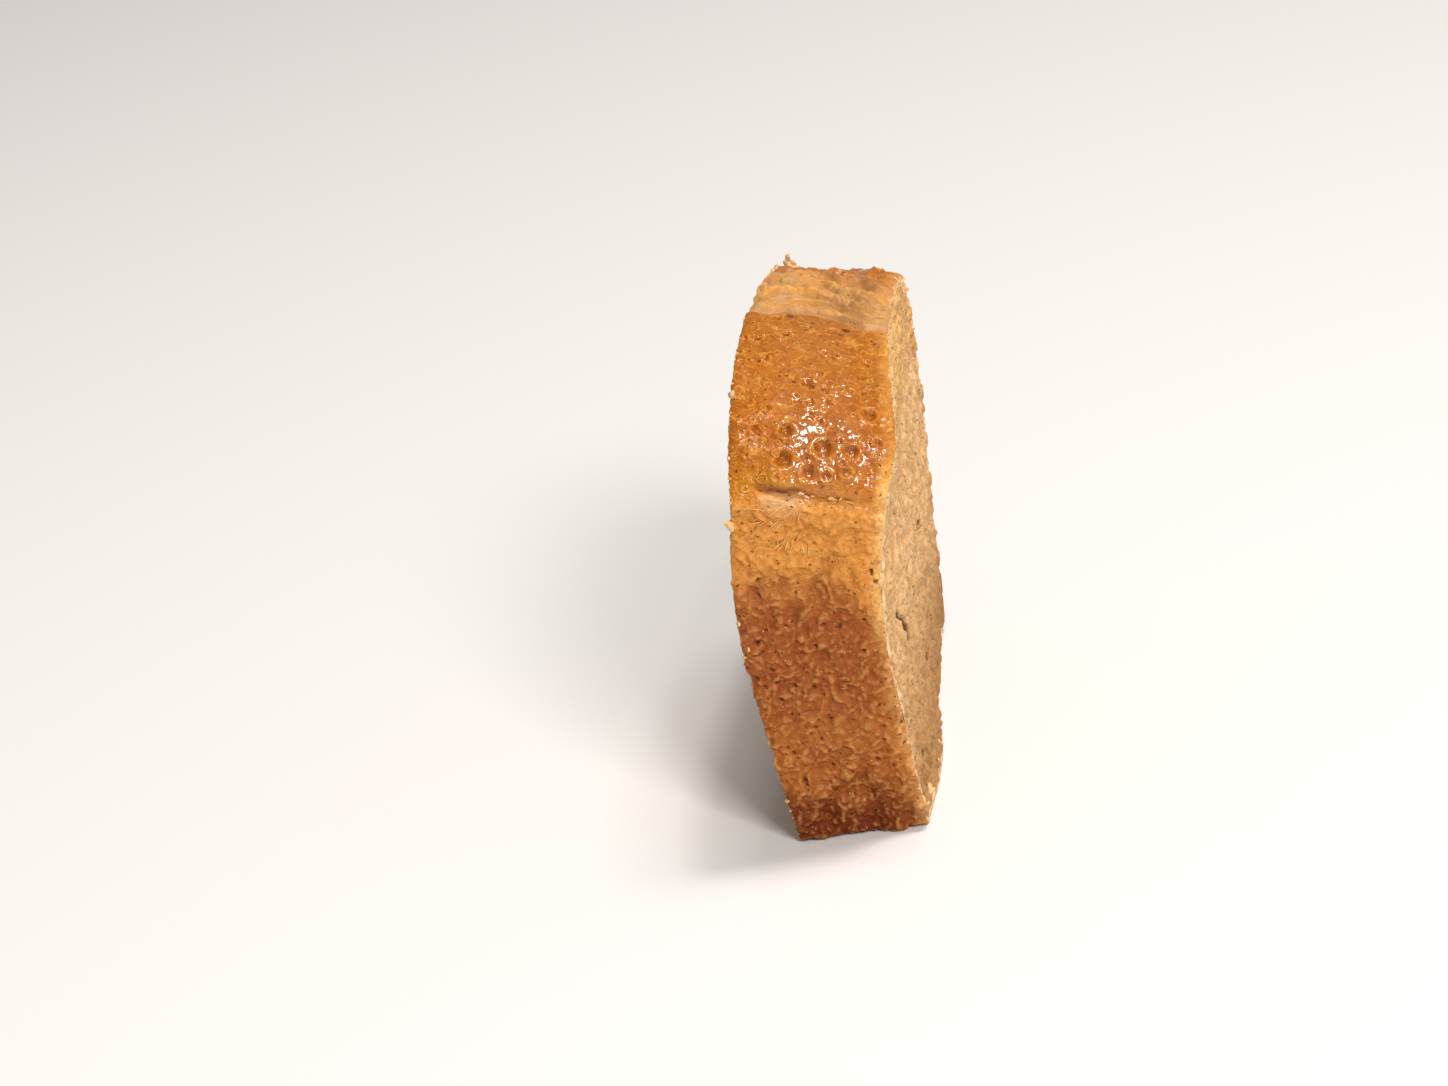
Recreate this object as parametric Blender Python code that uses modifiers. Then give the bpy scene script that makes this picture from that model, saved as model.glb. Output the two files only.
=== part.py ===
"""A thick slice of banana bread, cut across a loaf and standing on its flat bottom crust.

X runs along the loaf, through the slice, Y across the loaf and Z up. The tin shaped the walls
up to its rim, the oven raised the dome above it, and the dome split along the loaf.
"""

import math
import random

import bpy
import numpy as np
from mathutils import Vector, noise

MM = 0.001
NEAR = -1
FAR = 1

# Section of the loaf
BASE_HALF_WIDTH = 44.6 * MM
RIM_HALF_WIDTH = 51 * MM
RIM_HEIGHT = 69 * MM
CROWN_HEIGHT = 88.5 * MM
DOME_SQUARENESS = 1.9
FOOT_RADIUS = 2.2 * MM
FOOT_STEPS = 6
DOME_STEPS = 72

# Sideways place of the two cuts at these heights, at the near wall and at the far wall
CUT_HEIGHTS = np.array((0, 20, 38, 55, 69, 80, 88.5)) * MM
LEFT_CUT_NEAR = np.array((-11.4, -13.7, -15.2, -14.7, -12.5, -12.4, -12.8)) * MM
LEFT_CUT_FAR = np.array((-0.4, -2.5, -3.6, -3.0, -1.2, -1.0, -0.9)) * MM
RIGHT_CUT_NEAR = np.array((11.4, 11.2, 10.3, 11.6, 14.2, 16.9, 15.8)) * MM
RIGHT_CUT_FAR = np.array((18.9, 19.9, 20.3, 20.9, 20.9, 20.8, 20.4)) * MM

# The foot of the right cut swells outwards
FOOT_SWELL = 2.4 * MM
FOOT_SWELL_CENTRE = -20 * MM
FOOT_SWELL_REACH = 24 * MM
FOOT_SWELL_HEIGHT = 20 * MM

# The slice has sagged to its right: layers that were level in the tin fall by this slope
SAG_SLOPE = 0.148
CROWN_SAG_SLOPE = 0.08
SLAB_HALF_THICKNESS = 12 * MM
CUT_EDGE_ROUNDING = 0.7 * MM
CUT_EDGE_WIDTH = 1.5 * MM

# Rim line, where the dome overhangs the wall
LIP_BULGE = 0.7 * MM
LIP_BELOW_RIM = 2.5 * MM
LIP_SPREAD = 2.2 * MM
NOTCH_DEPTH = 1.1 * MM
NOTCH_ABOVE_RIM = 1.6 * MM
NOTCH_SPREAD = 1.1 * MM
RIM_WAVER = 1.2 * MM
RIM_WAVER_SIZE = 12 * MM

# Torn split along the dome: its two lips at the left cut and how far they drift by the right cut
SPLIT_NEAR_LIP = -5.5 * MM
SPLIT_FAR_LIP = 25 * MM
NEAR_LIP_DRIFT = -9 * MM
FAR_LIP_DRIFT = -15 * MM
DRIFT_START = 2 * MM
DRIFT_END = 20 * MM
SPLIT_DEPTH = 1.3 * MM
SPLIT_LEDGES = 5
SPLIT_LEDGE_HEIGHT = 0.8 * MM
LIP_SOFTNESS = 1.6 * MM
LIP_WAVE = 0.8 * MM
LIP_WAVE_LENGTH = 2.6 * MM
FAR_LIP_RISE = 0.8 * MM
SPLIT_REACH_DOWN = 6 * MM

# Holes torn open in the split: place along X and Y, half lengths along X and Y, depth
SPLIT_HOLES = (
    (2.3 * MM, 5.4 * MM, 2.6 * MM, 1.6 * MM, 1.9 * MM),
    (9.4 * MM, 2.0 * MM, 3.0 * MM, 1.6 * MM, 2.1 * MM),
    (-3.5 * MM, 14.0 * MM, 2.4 * MM, 1.5 * MM, 1.4 * MM),
)

# Burst bubbles in the shoulder crust: place along X and Y, radius. The far shoulder's are turned
# half round about this X.
LARGE_PITS = (
    (2.8 * MM, -31.0 * MM, 1.7 * MM),
    (5.6 * MM, -32.4 * MM, 1.4 * MM),
    (12.6 * MM, -38.3 * MM, 2.0 * MM),
    (-4.8 * MM, -37.7 * MM, 1.2 * MM),
    (-1.8 * MM, -42.4 * MM, 1.9 * MM),
    (4.0 * MM, -46.0 * MM, 2.3 * MM),
    (8.6 * MM, -46.3 * MM, 1.9 * MM),
    (-9.8 * MM, -46.3 * MM, 1.2 * MM),
    (-3.0 * MM, -47.6 * MM, 2.0 * MM),
    (1.1 * MM, -49.4 * MM, 1.8 * MM),
)
PITS_TURN_ABOUT = 6 * MM
SMALL_PITS_A_SIDE = 26
PITS_FROM = -10 * MM
PITS_TO = 20 * MM
SMALL_PIT_RADIUS = (0.8 * MM, 1.4 * MM)
CLEAR_OF_SPLIT = 2.5 * MM
PIT_SPACING = 1.3
PIT_DEPTH_TO_RADIUS = 0.62
PIT_SPREAD = 0.75
PIT_RIM_TO_DEPTH = 0.22
PIT_RIM_AT = 1.3
PIT_RIM_SPREAD = 0.3

# Unevenness: size of the lumps and how far they stand out. A crease runs where noise is nought.
CREASE_LEVEL = 0.15
CRUST_SWELL_SIZE = 15 * MM
CRUST_SWELL = 0.7 * MM
CRAG_SIZE = 4.2 * MM
CRAG_HEIGHT = 2.0 * MM
SHOULDER_WRINKLE_SIZE = 5.5 * MM
SHOULDER_WRINKLE = 0.9 * MM
CRUMB_SWELL_SIZE = 11 * MM
CRUMB_SWELL = 0.5 * MM
CRUMB_GRAIN_SIZE = 3.6 * MM
CRUMB_GRAIN = 1.2 * MM
CRUMB_HOLES_A_CUT = 46
CRUMB_HOLE_RADIUS = (0.9 * MM, 2.0 * MM)
CRUMB_HOLE_DEPTH_TO_RADIUS = 0.75

# Rounded knobs of crust left standing along the right edge of the dome, by their Y
KNOB_YS = (6 * MM, 13 * MM, 21 * MM, 30 * MM, 38 * MM, 45 * MM)
KNOB_RADIUS = 3.6 * MM
KNOB_HEIGHT = 1.0 * MM
KNOB_INSET = 1.5 * MM

# The crust is this thick before it has all turned to crumb
CRUST_SKIN = 0.5 * MM
CRUST_END = 2.5 * MM

# The bottom crust stays flat, and the crags fade in above it
FLAT_BELOW = 0.15 * MM
CRAGS_FROM = 3 * MM

FINE_VOXEL = 1.15 * MM
TRIANGLES = 10800
WELD_DISTANCE = 0.0001
SHARP_ANGLE = math.radians(50)
CUT_FACING = 0.75
SEED = 7

CRUST_COLOUR = (0.42, 0.15, 0.035, 1.0)
CRUMB_COLOUR = (0.68, 0.39, 0.16, 1.0)


def clear_scene():
    for obj in list(bpy.data.objects):
        bpy.data.objects.remove(obj)


def make_material(name, colour, roughness):
    material = bpy.data.materials.new(name)
    material.use_nodes = True
    shader = material.node_tree.nodes["Principled BSDF"]
    shader.inputs["Base Color"].default_value = colour
    shader.inputs["Roughness"].default_value = roughness
    shader.inputs["Metallic"].default_value = 0.0
    return material


def bump(distance, spread):
    """1 where distance is 0, falling smoothly to 0."""
    return np.exp(-((distance / spread) ** 2))


def ramp(value, start, end):
    """0 before start and 1 after end, with a smooth step between them."""
    t = np.clip((value - start) / (end - start), 0.0, 1.0)
    return t * t * (3.0 - 2.0 * t)


def noise_at(points, size, offset):
    """Smooth noise from -1 to 1 at each point, with lumps of this size."""
    shift = Vector((offset, offset, offset))
    return np.array([noise.noise(Vector(point) / size + shift) for point in points])


def curve_through(heights, places, z):
    """Places at the heights z, on a smooth curve through the given ones."""
    slopes = np.gradient(places, heights)
    lower = np.clip(np.searchsorted(heights, z) - 1, 0, len(heights) - 2)
    span = heights[lower + 1] - heights[lower]
    t = np.clip((z - heights[lower]) / span, 0.0, 1.0)
    start = places[lower] * (1 + 2 * t) * (1 - t) ** 2 + slopes[lower] * span * t * (1 - t) ** 2
    end = places[lower + 1] * t * t * (3 - 2 * t) + slopes[lower + 1] * span * t * t * (t - 1)
    return start + end


def foot_points():
    """The rounded corner between the bottom crust and the far wall, from below."""
    points = []
    for step in range(FOOT_STEPS + 1):
        angle = math.radians(90) * step / FOOT_STEPS
        y = BASE_HALF_WIDTH - FOOT_RADIUS + FOOT_RADIUS * math.sin(angle)
        points.append((y, FOOT_RADIUS * (1 - math.cos(angle))))
    return points


def dome_points():
    """The dome from the far rim to the near rim, a rounded shape squarer than an ellipse."""
    points = []
    power = 2 / DOME_SQUARENESS
    for step in range(DOME_STEPS + 1):
        angle = math.pi * step / DOME_STEPS
        across = math.copysign(abs(math.cos(angle)) ** power, math.cos(angle))
        up = abs(math.sin(angle)) ** power
        points.append((RIM_HALF_WIDTH * across, RIM_HEIGHT + (CROWN_HEIGHT - RIM_HEIGHT) * up))
    return points


def dome_height(y):
    across = np.abs(y / RIM_HALF_WIDTH)
    up = np.clip(1 - across**DOME_SQUARENESS, 0, 1) ** (1 / DOME_SQUARENESS)
    return RIM_HEIGHT + (CROWN_HEIGHT - RIM_HEIGHT) * up


def loaf_outline():
    far_foot = foot_points()
    near_foot = [(-y, z) for y, z in reversed(far_foot)]
    return far_foot + dome_points() + near_foot


def extruded_section(collection):
    """The loaf's section as a filled curve with the slice's thickness, made a mesh."""
    curve = bpy.data.curves.new("loaf_section", "CURVE")
    curve.dimensions = "2D"
    curve.fill_mode = "BOTH"
    curve.extrude = SLAB_HALF_THICKNESS
    outline = loaf_outline()
    spline = curve.splines.new("POLY")
    spline.points.add(len(outline) - 1)
    for point, (y, z) in zip(spline.points, outline):
        point.co = (y, z, 0.0, 1.0)
    spline.use_cyclic_u = True
    section = bpy.data.objects.new("loaf_section", curve)
    section.rotation_euler = (math.radians(90), 0.0, math.radians(90))
    collection.objects.link(section)
    bpy.context.view_layer.update()
    evaluated = section.evaluated_get(bpy.context.evaluated_depsgraph_get())
    mesh = bpy.data.meshes.new_from_object(evaluated)
    mesh.transform(section.matrix_world)
    bpy.data.objects.remove(section)
    piece = bpy.data.objects.new("banana_bread_slice", mesh)
    collection.objects.link(piece)
    return piece


def apply_modifiers(piece):
    evaluated = piece.evaluated_get(bpy.context.evaluated_depsgraph_get())
    mesh = bpy.data.meshes.new_from_object(evaluated)
    piece.modifiers.clear()
    piece.data = mesh


def remesh_evenly(piece):
    weld = piece.modifiers.new("weld", "WELD")
    weld.merge_threshold = WELD_DISTANCE
    remesh = piece.modifiers.new("even_faces", "REMESH")
    remesh.mode = "VOXEL"
    remesh.voxel_size = FINE_VOXEL
    apply_modifiers(piece)


def points_of(mesh):
    points = np.empty(len(mesh.vertices) * 3)
    mesh.vertices.foreach_get("co", points)
    return points.reshape(-1, 3)


def normals_of(mesh):
    normals = np.empty(len(mesh.vertices) * 3)
    mesh.vertices.foreach_get("normal", normals)
    return normals.reshape(-1, 3)


def set_points(mesh, points):
    mesh.vertices.foreach_set("co", points.ravel())
    mesh.update()


def depth_below_crust(points):
    """How far each point lies inside the loaf's outline, roughly, in metres."""
    across = np.abs(points[:, 1])
    height = points[:, 2]
    flare = (RIM_HALF_WIDTH - BASE_HALF_WIDTH) / RIM_HEIGHT
    from_wall = BASE_HALF_WIDTH + flare * np.minimum(height, RIM_HEIGHT) - across
    rise = CROWN_HEIGHT - RIM_HEIGHT
    u = across / RIM_HALF_WIDTH
    v = np.maximum(height - RIM_HEIGHT, 0.0) / rise
    level = u**DOME_SQUARENESS + v**DOME_SQUARENESS
    lean_u = DOME_SQUARENESS * u ** (DOME_SQUARENESS - 1) / RIM_HALF_WIDTH
    lean_v = DOME_SQUARENESS * v ** (DOME_SQUARENESS - 1) / rise
    from_dome = (1.0 - level) / np.maximum(np.hypot(lean_u, lean_v), 1e-6)
    sides = np.where(height > RIM_HEIGHT, from_dome, from_wall)
    return np.minimum(sides, height)


def cut_places(y, z):
    """Sideways place of the left and the right cut at each point."""
    depth = (y / BASE_HALF_WIDTH + 1.0) / 2.0
    left_near = curve_through(CUT_HEIGHTS, LEFT_CUT_NEAR, z)
    left_far = curve_through(CUT_HEIGHTS, LEFT_CUT_FAR, z)
    right_near = curve_through(CUT_HEIGHTS, RIGHT_CUT_NEAR, z)
    right_far = curve_through(CUT_HEIGHTS, RIGHT_CUT_FAR, z)
    left = left_near + (left_far - left_near) * depth
    right = right_near + (right_far - right_near) * depth
    swell = bump(y - FOOT_SWELL_CENTRE, FOOT_SWELL_REACH) * (1 - ramp(z, 0.0, FOOT_SWELL_HEIGHT))
    return left, right + FOOT_SWELL * swell


def sag_at(x, z):
    """How far a point that was z high in the tin has sunk."""
    slope = SAG_SLOPE * ramp(z, 0.0, RIM_HEIGHT)
    slope += CROWN_SAG_SLOPE * ramp(z, RIM_HEIGHT, CROWN_HEIGHT)
    return slope * x


def shaped_by_cuts(flat):
    """The straight slab's points moved between the two real cuts, and sagged."""
    y = flat[:, 1]
    z = flat[:, 2]
    left, right = cut_places(y, z)
    share = (flat[:, 0] / SLAB_HALF_THICKNESS + 1.0) / 2.0
    x = left + (right - left) * share
    return np.column_stack((x, y, z - sag_at(x, z)))


def split_lips(x):
    """Where the two lips of the split run, across the loaf."""
    drift = ramp(x, DRIFT_START, DRIFT_END)
    wave = LIP_WAVE * (np.sin(x / LIP_WAVE_LENGTH) + 0.6 * np.sin(2 * x / LIP_WAVE_LENGTH + 1))
    near_lip = SPLIT_NEAR_LIP + NEAR_LIP_DRIFT * drift + wave
    return near_lip, SPLIT_FAR_LIP + FAR_LIP_DRIFT * drift - wave


def split_share(points):
    """1 inside the torn split and 0 on the crust beside it."""
    near_lip, far_lip = split_lips(points[:, 0])
    y = points[:, 1]
    opened = ramp(y, near_lip - LIP_SOFTNESS / 2, near_lip + LIP_SOFTNESS / 2)
    closed = ramp(y, far_lip - LIP_SOFTNESS / 2, far_lip + LIP_SOFTNESS / 2)
    return opened * (1.0 - closed) * ramp(points[:, 2], RIM_HEIGHT, CROWN_HEIGHT - SPLIT_REACH_DOWN)


def split_relief(points):
    """Long torn ledges that step up from the near lip to the far lip, with holes under them."""
    near_lip, far_lip = split_lips(points[:, 0])
    across = (points[:, 1] - near_lip) / (far_lip - near_lip)
    steps = np.abs(np.sin(math.pi * SPLIT_LEDGES * across + 2.0 * noise_at(points, 9 * MM, 3)))
    relief = -SPLIT_DEPTH * np.sqrt(np.clip(1.0 - across, 0.0, 1.0))
    relief += SPLIT_LEDGE_HEIGHT * steps
    for x, y, half_x, half_y, depth in SPLIT_HOLES:
        reach = np.hypot((points[:, 0] - x) / half_x, (points[:, 1] - y) / half_y)
        relief -= depth * bump(reach, 1.0)
    return relief


def far_lip_relief(points):
    """The far crust curls up a little along the split."""
    far_lip = split_lips(points[:, 0])[1]
    beyond = bump(points[:, 1] - far_lip - LIP_SOFTNESS, 2 * LIP_SOFTNESS)
    return FAR_LIP_RISE * beyond * ramp(points[:, 2], RIM_HEIGHT, CROWN_HEIGHT - SPLIT_REACH_DOWN)


def rim_relief(points):
    """The wall's swollen top edge and the groove between it and the dome."""
    above = points[:, 2] - RIM_HEIGHT + RIM_WAVER * noise_at(points, RIM_WAVER_SIZE, 5)
    lip = LIP_BULGE * bump(above + LIP_BELOW_RIM, LIP_SPREAD)
    notch = NOTCH_DEPTH * bump(above - NOTCH_ABOVE_RIM, NOTCH_SPREAD)
    return lip - notch * (0.65 + 0.35 * noise_at(points, 7 * MM, 6))


def pit_relief(distance, radius, depth):
    """A round pit with a slightly raised rim."""
    reach = distance / radius
    rim = PIT_RIM_TO_DEPTH * bump(reach - PIT_RIM_AT, PIT_RIM_SPREAD)
    return depth * (rim - bump(reach, PIT_SPREAD))


def on_dome(x, y):
    """The point of the smooth dome above x and y."""
    top = dome_height(y)
    return np.array((x, y, top - sag_at(x, top)))


def pit_places(side):
    """Centres and radii of one shoulder's pits: the large ones, then small ones clear of them."""
    rng = random.Random(SEED + side)
    pits = []
    for x, y, radius in LARGE_PITS:
        if side == FAR:
            x, y = 2 * PITS_TURN_ABOUT - x, -y
        pits.append((on_dome(x, y), radius))
    while len(pits) < len(LARGE_PITS) + SMALL_PITS_A_SIDE:
        x = rng.uniform(PITS_FROM, PITS_TO)
        near_lip, far_lip = split_lips(x)
        lip = -near_lip if side == NEAR else far_lip
        y = side * rng.uniform(lip + CLEAR_OF_SPLIT, RIM_HALF_WIDTH)
        centre = on_dome(x, y)
        radius = rng.uniform(*SMALL_PIT_RADIUS)
        gaps = [np.linalg.norm(centre - other) / (radius + size) for other, size in pits]
        if min(gaps) > PIT_SPACING:
            pits.append((centre, radius))
    return pits


def shoulder_pits(points):
    relief = np.zeros(len(points))
    for centre, radius in pit_places(NEAR) + pit_places(FAR):
        distance = np.linalg.norm(points - centre, axis=1)
        relief += pit_relief(distance, radius, PIT_DEPTH_TO_RADIUS * radius)
    return relief


def crust_relief(points, flat):
    """How far the wall's and the dome's crust stands out from the smooth loaf."""
    unsagged = np.column_stack((points[:, 0], flat[:, 1], flat[:, 2]))
    dome = ramp(flat[:, 2], RIM_HEIGHT - 1 * MM, RIM_HEIGHT + 4 * MM)
    split = split_share(unsagged)
    crags = CREASE_LEVEL - np.abs(noise_at(points, CRAG_SIZE, 11))
    relief = CRUST_SWELL * noise_at(points, CRUST_SWELL_SIZE, 17)
    relief += CRAG_HEIGHT * crags * (1 - dome)
    relief += SHOULDER_WRINKLE * noise_at(points, SHOULDER_WRINKLE_SIZE, 13) * dome
    relief += rim_relief(flat) + far_lip_relief(unsagged) + shoulder_pits(points)
    return relief * (1 - split) + split_relief(unsagged) * split


def crumb_relief(points, flat):
    """The torn, open surface of the two cuts."""
    relief = CRUMB_SWELL * noise_at(points, CRUMB_SWELL_SIZE, 23)
    relief += CRUMB_GRAIN * (CREASE_LEVEL - np.abs(noise_at(points, CRUMB_GRAIN_SIZE, 29)))
    rng = random.Random(SEED)
    for cut in (NEAR, FAR):
        on_cut = cut * flat[:, 0] > SLAB_HALF_THICKNESS - FINE_VOXEL / 2
        places = points[on_cut & (depth_below_crust(flat) > 2 * CRUMB_HOLE_RADIUS[1])]
        for _ in range(CRUMB_HOLES_A_CUT):
            centre = places[rng.randrange(len(places))]
            radius = rng.uniform(*CRUMB_HOLE_RADIUS)
            distance = np.linalg.norm(points - centre, axis=1)
            relief -= CRUMB_HOLE_DEPTH_TO_RADIUS * radius * bump(distance, radius)
    return relief


def knob_relief(flat):
    """Rounded knobs along the right edge of the dome."""
    relief = np.zeros(len(flat))
    for y in KNOB_YS:
        centre = np.array((SLAB_HALF_THICKNESS - KNOB_INSET, y, dome_height(y)))
        relief += KNOB_HEIGHT * bump(np.linalg.norm(flat - centre, axis=1), KNOB_RADIUS)
    return relief


def edge_loss(points, flat):
    """What crumbled off the edges between the crust and the cuts."""
    across = np.abs(flat[:, 0])
    at_edge = ramp(across, SLAB_HALF_THICKNESS - CUT_EDGE_WIDTH, SLAB_HALF_THICKNESS)
    return CUT_EDGE_ROUNDING * at_edge * (0.4 + 0.5 * noise_at(points, 5 * MM, 31))


def roughen(piece, flat):
    """Moves each point along its normal by the relief of the crust or of the crumb."""
    mesh = piece.data
    points = points_of(mesh)
    on_crumb = ramp(depth_below_crust(flat), CRUST_SKIN, CRUST_END)
    crust = crust_relief(points, flat) - edge_loss(points, flat)
    relief = crust * (1 - on_crumb) + crumb_relief(points, flat) * on_crumb
    relief += knob_relief(flat)
    relief *= ramp(flat[:, 2], FLAT_BELOW, CRAGS_FROM)
    set_points(mesh, points + normals_of(mesh) * relief[:, None])


def simplify(piece):
    decimate = piece.modifiers.new("fewer_triangles", "DECIMATE")
    triangles = 2 * len(piece.data.polygons)
    decimate.ratio = TRIANGLES / triangles
    decimate.use_collapse_triangulate = True
    apply_modifiers(piece)


def settle(piece):
    """Presses the bottom crust flat and puts the origin at the bottom centre of the slice."""
    points = points_of(piece.data)
    points[:, 2] = np.where(points[:, 2] < FLAT_BELOW, 0.0, points[:, 2])
    lowest = points.min(axis=0)
    highest = points.max(axis=0)
    points[:, :2] -= (lowest[:2] + highest[:2]) / 2
    points[:, 2] -= lowest[2]
    set_points(piece.data, points)


def paint(piece):
    """Gives the cut faces the crumb's material and everything else the crust's."""
    mesh = piece.data
    mesh.materials.clear()
    mesh.materials.append(make_material("browned_crust", CRUST_COLOUR, 0.55))
    mesh.materials.append(make_material("banana_crumb", CRUMB_COLOUR, 0.85))
    for face in mesh.polygons:
        face.material_index = 1 if abs(face.normal.x) > CUT_FACING else 0
    mesh.shade_smooth()
    mesh.set_sharp_from_angle(angle=SHARP_ANGLE)


def make_slice(collection):
    piece = extruded_section(collection)
    remesh_evenly(piece)
    flat = points_of(piece.data)
    set_points(piece.data, shaped_by_cuts(flat))
    roughen(piece, flat)
    simplify(piece)
    settle(piece)
    paint(piece)
    return piece


def main():
    clear_scene()
    collection = bpy.data.collections.new("banana_bread")
    bpy.context.scene.collection.children.link(collection)
    make_slice(collection)


main()
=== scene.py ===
"""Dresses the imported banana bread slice: browned crust, open crumb, edge crumbs and a studio.

X runs along the loaf, through the slice, Y across the loaf and Z up, in metres.
"""

import math
import random

import bpy
import numpy as np
from mathutils import Matrix, Vector, noise


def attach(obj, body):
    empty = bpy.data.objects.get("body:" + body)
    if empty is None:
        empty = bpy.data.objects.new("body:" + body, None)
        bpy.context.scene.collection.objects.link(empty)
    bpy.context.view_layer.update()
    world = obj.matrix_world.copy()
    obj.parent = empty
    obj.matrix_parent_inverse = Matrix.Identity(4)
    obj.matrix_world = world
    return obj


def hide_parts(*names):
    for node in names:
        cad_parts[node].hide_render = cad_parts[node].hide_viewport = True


bl_info = {
    "name": "Banana bread slice",
    "version": (1, 0, 0),
    "blender": (4, 5, 0),
    "location": "View3D > Sidebar > Bread",
    "description": "Bakes a thick slice of banana bread with a browned crust and an open crumb",
    "category": "Object",
}

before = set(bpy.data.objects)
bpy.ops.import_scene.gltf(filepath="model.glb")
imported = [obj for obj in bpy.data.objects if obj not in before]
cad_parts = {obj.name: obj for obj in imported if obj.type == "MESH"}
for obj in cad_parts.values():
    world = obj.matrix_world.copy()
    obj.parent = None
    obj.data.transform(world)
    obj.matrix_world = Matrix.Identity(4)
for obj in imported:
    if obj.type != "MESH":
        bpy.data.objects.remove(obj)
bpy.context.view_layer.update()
bpy.ops.object.select_all(action="DESELECT")

MM = 0.001
NEAR = -1
FAR = 1
NODE = "banana_bread_slice"
SEED = 7

# Without a seed noise_vector starts from the clock, and the crust would curl differently each run
noise.seed_set(SEED)

# Faces that meet at less than this are shaded as one surface
SMOOTH_ANGLE = math.radians(60)

# The slice as baked is this far from the middle of its own box
OFF_CENTRE = np.array((3.067, -0.216, 0.0)) * MM

# Height of the tin's rim in mm
RIM_HEIGHT = 69

# The outline is drawn in towards this point of the section, from about this far
SECTION_MIDDLE = np.array((0.0, 42 * MM))
SECTION_REACH = 46 * MM

# Steps along the outline's rounded foot and along half of its dome
FOOT_ARC_STEPS = 12
DOME_ARC_STEPS = 300

# Sideways place of the two cuts at these heights, at the near wall and at the far wall
CUT_HEIGHTS = np.array((0, 20, 38, 55, 69, 80, 88.5)) * MM
LEFT_CUT_NEAR = np.array((-11.4, -13.7, -15.2, -14.7, -12.5, -12.4, -12.8)) * MM
LEFT_CUT_FAR = np.array((-0.4, -2.5, -3.6, -3.0, -1.2, -1.0, -0.9)) * MM
RIGHT_CUT_NEAR = np.array((11.4, 11.2, 10.3, 11.6, 14.2, 16.9, 15.8)) * MM
RIGHT_CUT_FAR = np.array((18.9, 19.9, 20.3, 20.9, 20.9, 20.8, 20.4)) * MM

# The foot of the right cut swells outwards
FOOT_SWELL = 2.4 * MM
FOOT_SWELL_CENTRE = -20 * MM
FOOT_SWELL_REACH = 24 * MM
FOOT_SWELL_HEIGHT = 20 * MM

# Rim line, where the dome overhangs the wall
LIP_BULGE = 0.7 * MM
LIP_BELOW_RIM = 2.5 * MM
LIP_SPREAD = 2.2 * MM
NOTCH_ABOVE_RIM = 1.0 * MM
LEDGE_FALL = 0.15

# The groove under the dome by place along X: its depth, width and the dome's overhang, in mm
LEDGE_X = (-16, -9, -6, -3.5, -1, 2, 7, 10, 20)
NOTCH_DEPTHS = (0.2, 0.3, 1.5, 2.4, 1.1, 0.8, 0.7, 0.2, 0.1)
NOTCH_WIDTHS = (1.0, 0.8, 0.6, 0.7, 1.0, 1.0, 1.0, 1.2, 1.4)
OVERHANGS = (0.0, 0.0, 0.7, 1.1, 0.5, 0.2, 0.15, 0.0, 0.0)

# Torn split along the dome: its two lips at the left cut and how far they drift by the right cut
SPLIT_NEAR_LIP = -5.5 * MM
SPLIT_FAR_LIP = 25 * MM
NEAR_LIP_DRIFT = -6 * MM
FAR_LIP_DRIFT = -15 * MM
DRIFT_START = 2 * MM
DRIFT_END = 20 * MM

# Relief of the split: its depth below the near lip, its width, and the torn ledges across it
SPLIT_DEPTH = 1.3 * MM
SPLIT_WIDTH = 27 * MM
SPLIT_LEDGES = 5
SPLIT_LEDGE_HEIGHT = 0.8 * MM

# Lips of the split: how softly and in what waves they run, and how far the far one curls up
LIP_SOFTNESS = 1.6 * MM
LIP_WAVE = 0.8 * MM
LIP_WAVE_LENGTH = 2.6 * MM
FAR_LIP_RISE = 0.8 * MM

# The split fades in from the rim up to this far below the crown
CROWN_MARGIN = 6 * MM

# Scorched spots where the near lip is thin: place along X and Y, radius, in mm
SCORCHED = ((0.3, -7.7, 1.0), (10.1, -11.8, 0.9), (9.1, -13.9, 0.7), (4.2, -9.6, 0.5), (15.0, -16.4, 0.6))

# Holes torn open in the split: place along X and Y, half lengths along X and Y, depth, in mm
SPLIT_HOLES = (
    (2.3, 5.4, 2.6, 1.6, 1.9),
    (9.4, 2.0, 3.0, 1.6, 2.1),
    (-3.5, 14.0, 2.4, 1.5, 1.4),
)

# Burst bubbles in the shoulder crust: place along X and Y, radius, in mm
LARGE_PITS = (
    (2.8, -31.0, 1.7),
    (5.6, -32.4, 1.4),
    (12.6, -38.3, 2.0),
    (-4.8, -37.7, 1.2),
    (-1.8, -42.4, 1.9),
    (4.0, -46.0, 2.3),
    (8.6, -46.3, 1.9),
    (-9.8, -46.3, 1.2),
    (-3.0, -47.6, 2.0),
    (1.1, -49.4, 1.8),
)

# The far side's pits and pores are the near side's, turned about this place along X, in mm
PITS_TURN_ABOUT = 6

# Small pits of each shoulder: how many, between which places along X, their radii and how far
# they keep from the split, in mm, and from each other, as a share of both radii
SMALL_PITS_A_SIDE = 16
PITS_FROM = -10
PITS_TO = 20
SMALL_PIT_RADIUS = (0.6, 1.5)
CLEAR_OF_SPLIT = 2.5
PIT_SPACING = 1.3

# Small blown bubbles on both shoulders together
BLISTERS = 220

# How far the outline falls in at the cuts above the rim, and how far its edges are worn
EDGE_DROP = 0.6 * MM
EDGE_WEAR = 0.45 * MM

# Broken bubbles in the wall: place along X and Z, radius, in mm, and how many more are strewn
PLACED_PORES = ((2.1, 43.1, 0.5), (-2.7, 40.1, 0.4), (-12.7, 42.3, 0.35), (5.0, 15.2, 0.5), (-8.4, 12.7, 0.5))
STREWN_PORES = 60

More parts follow.
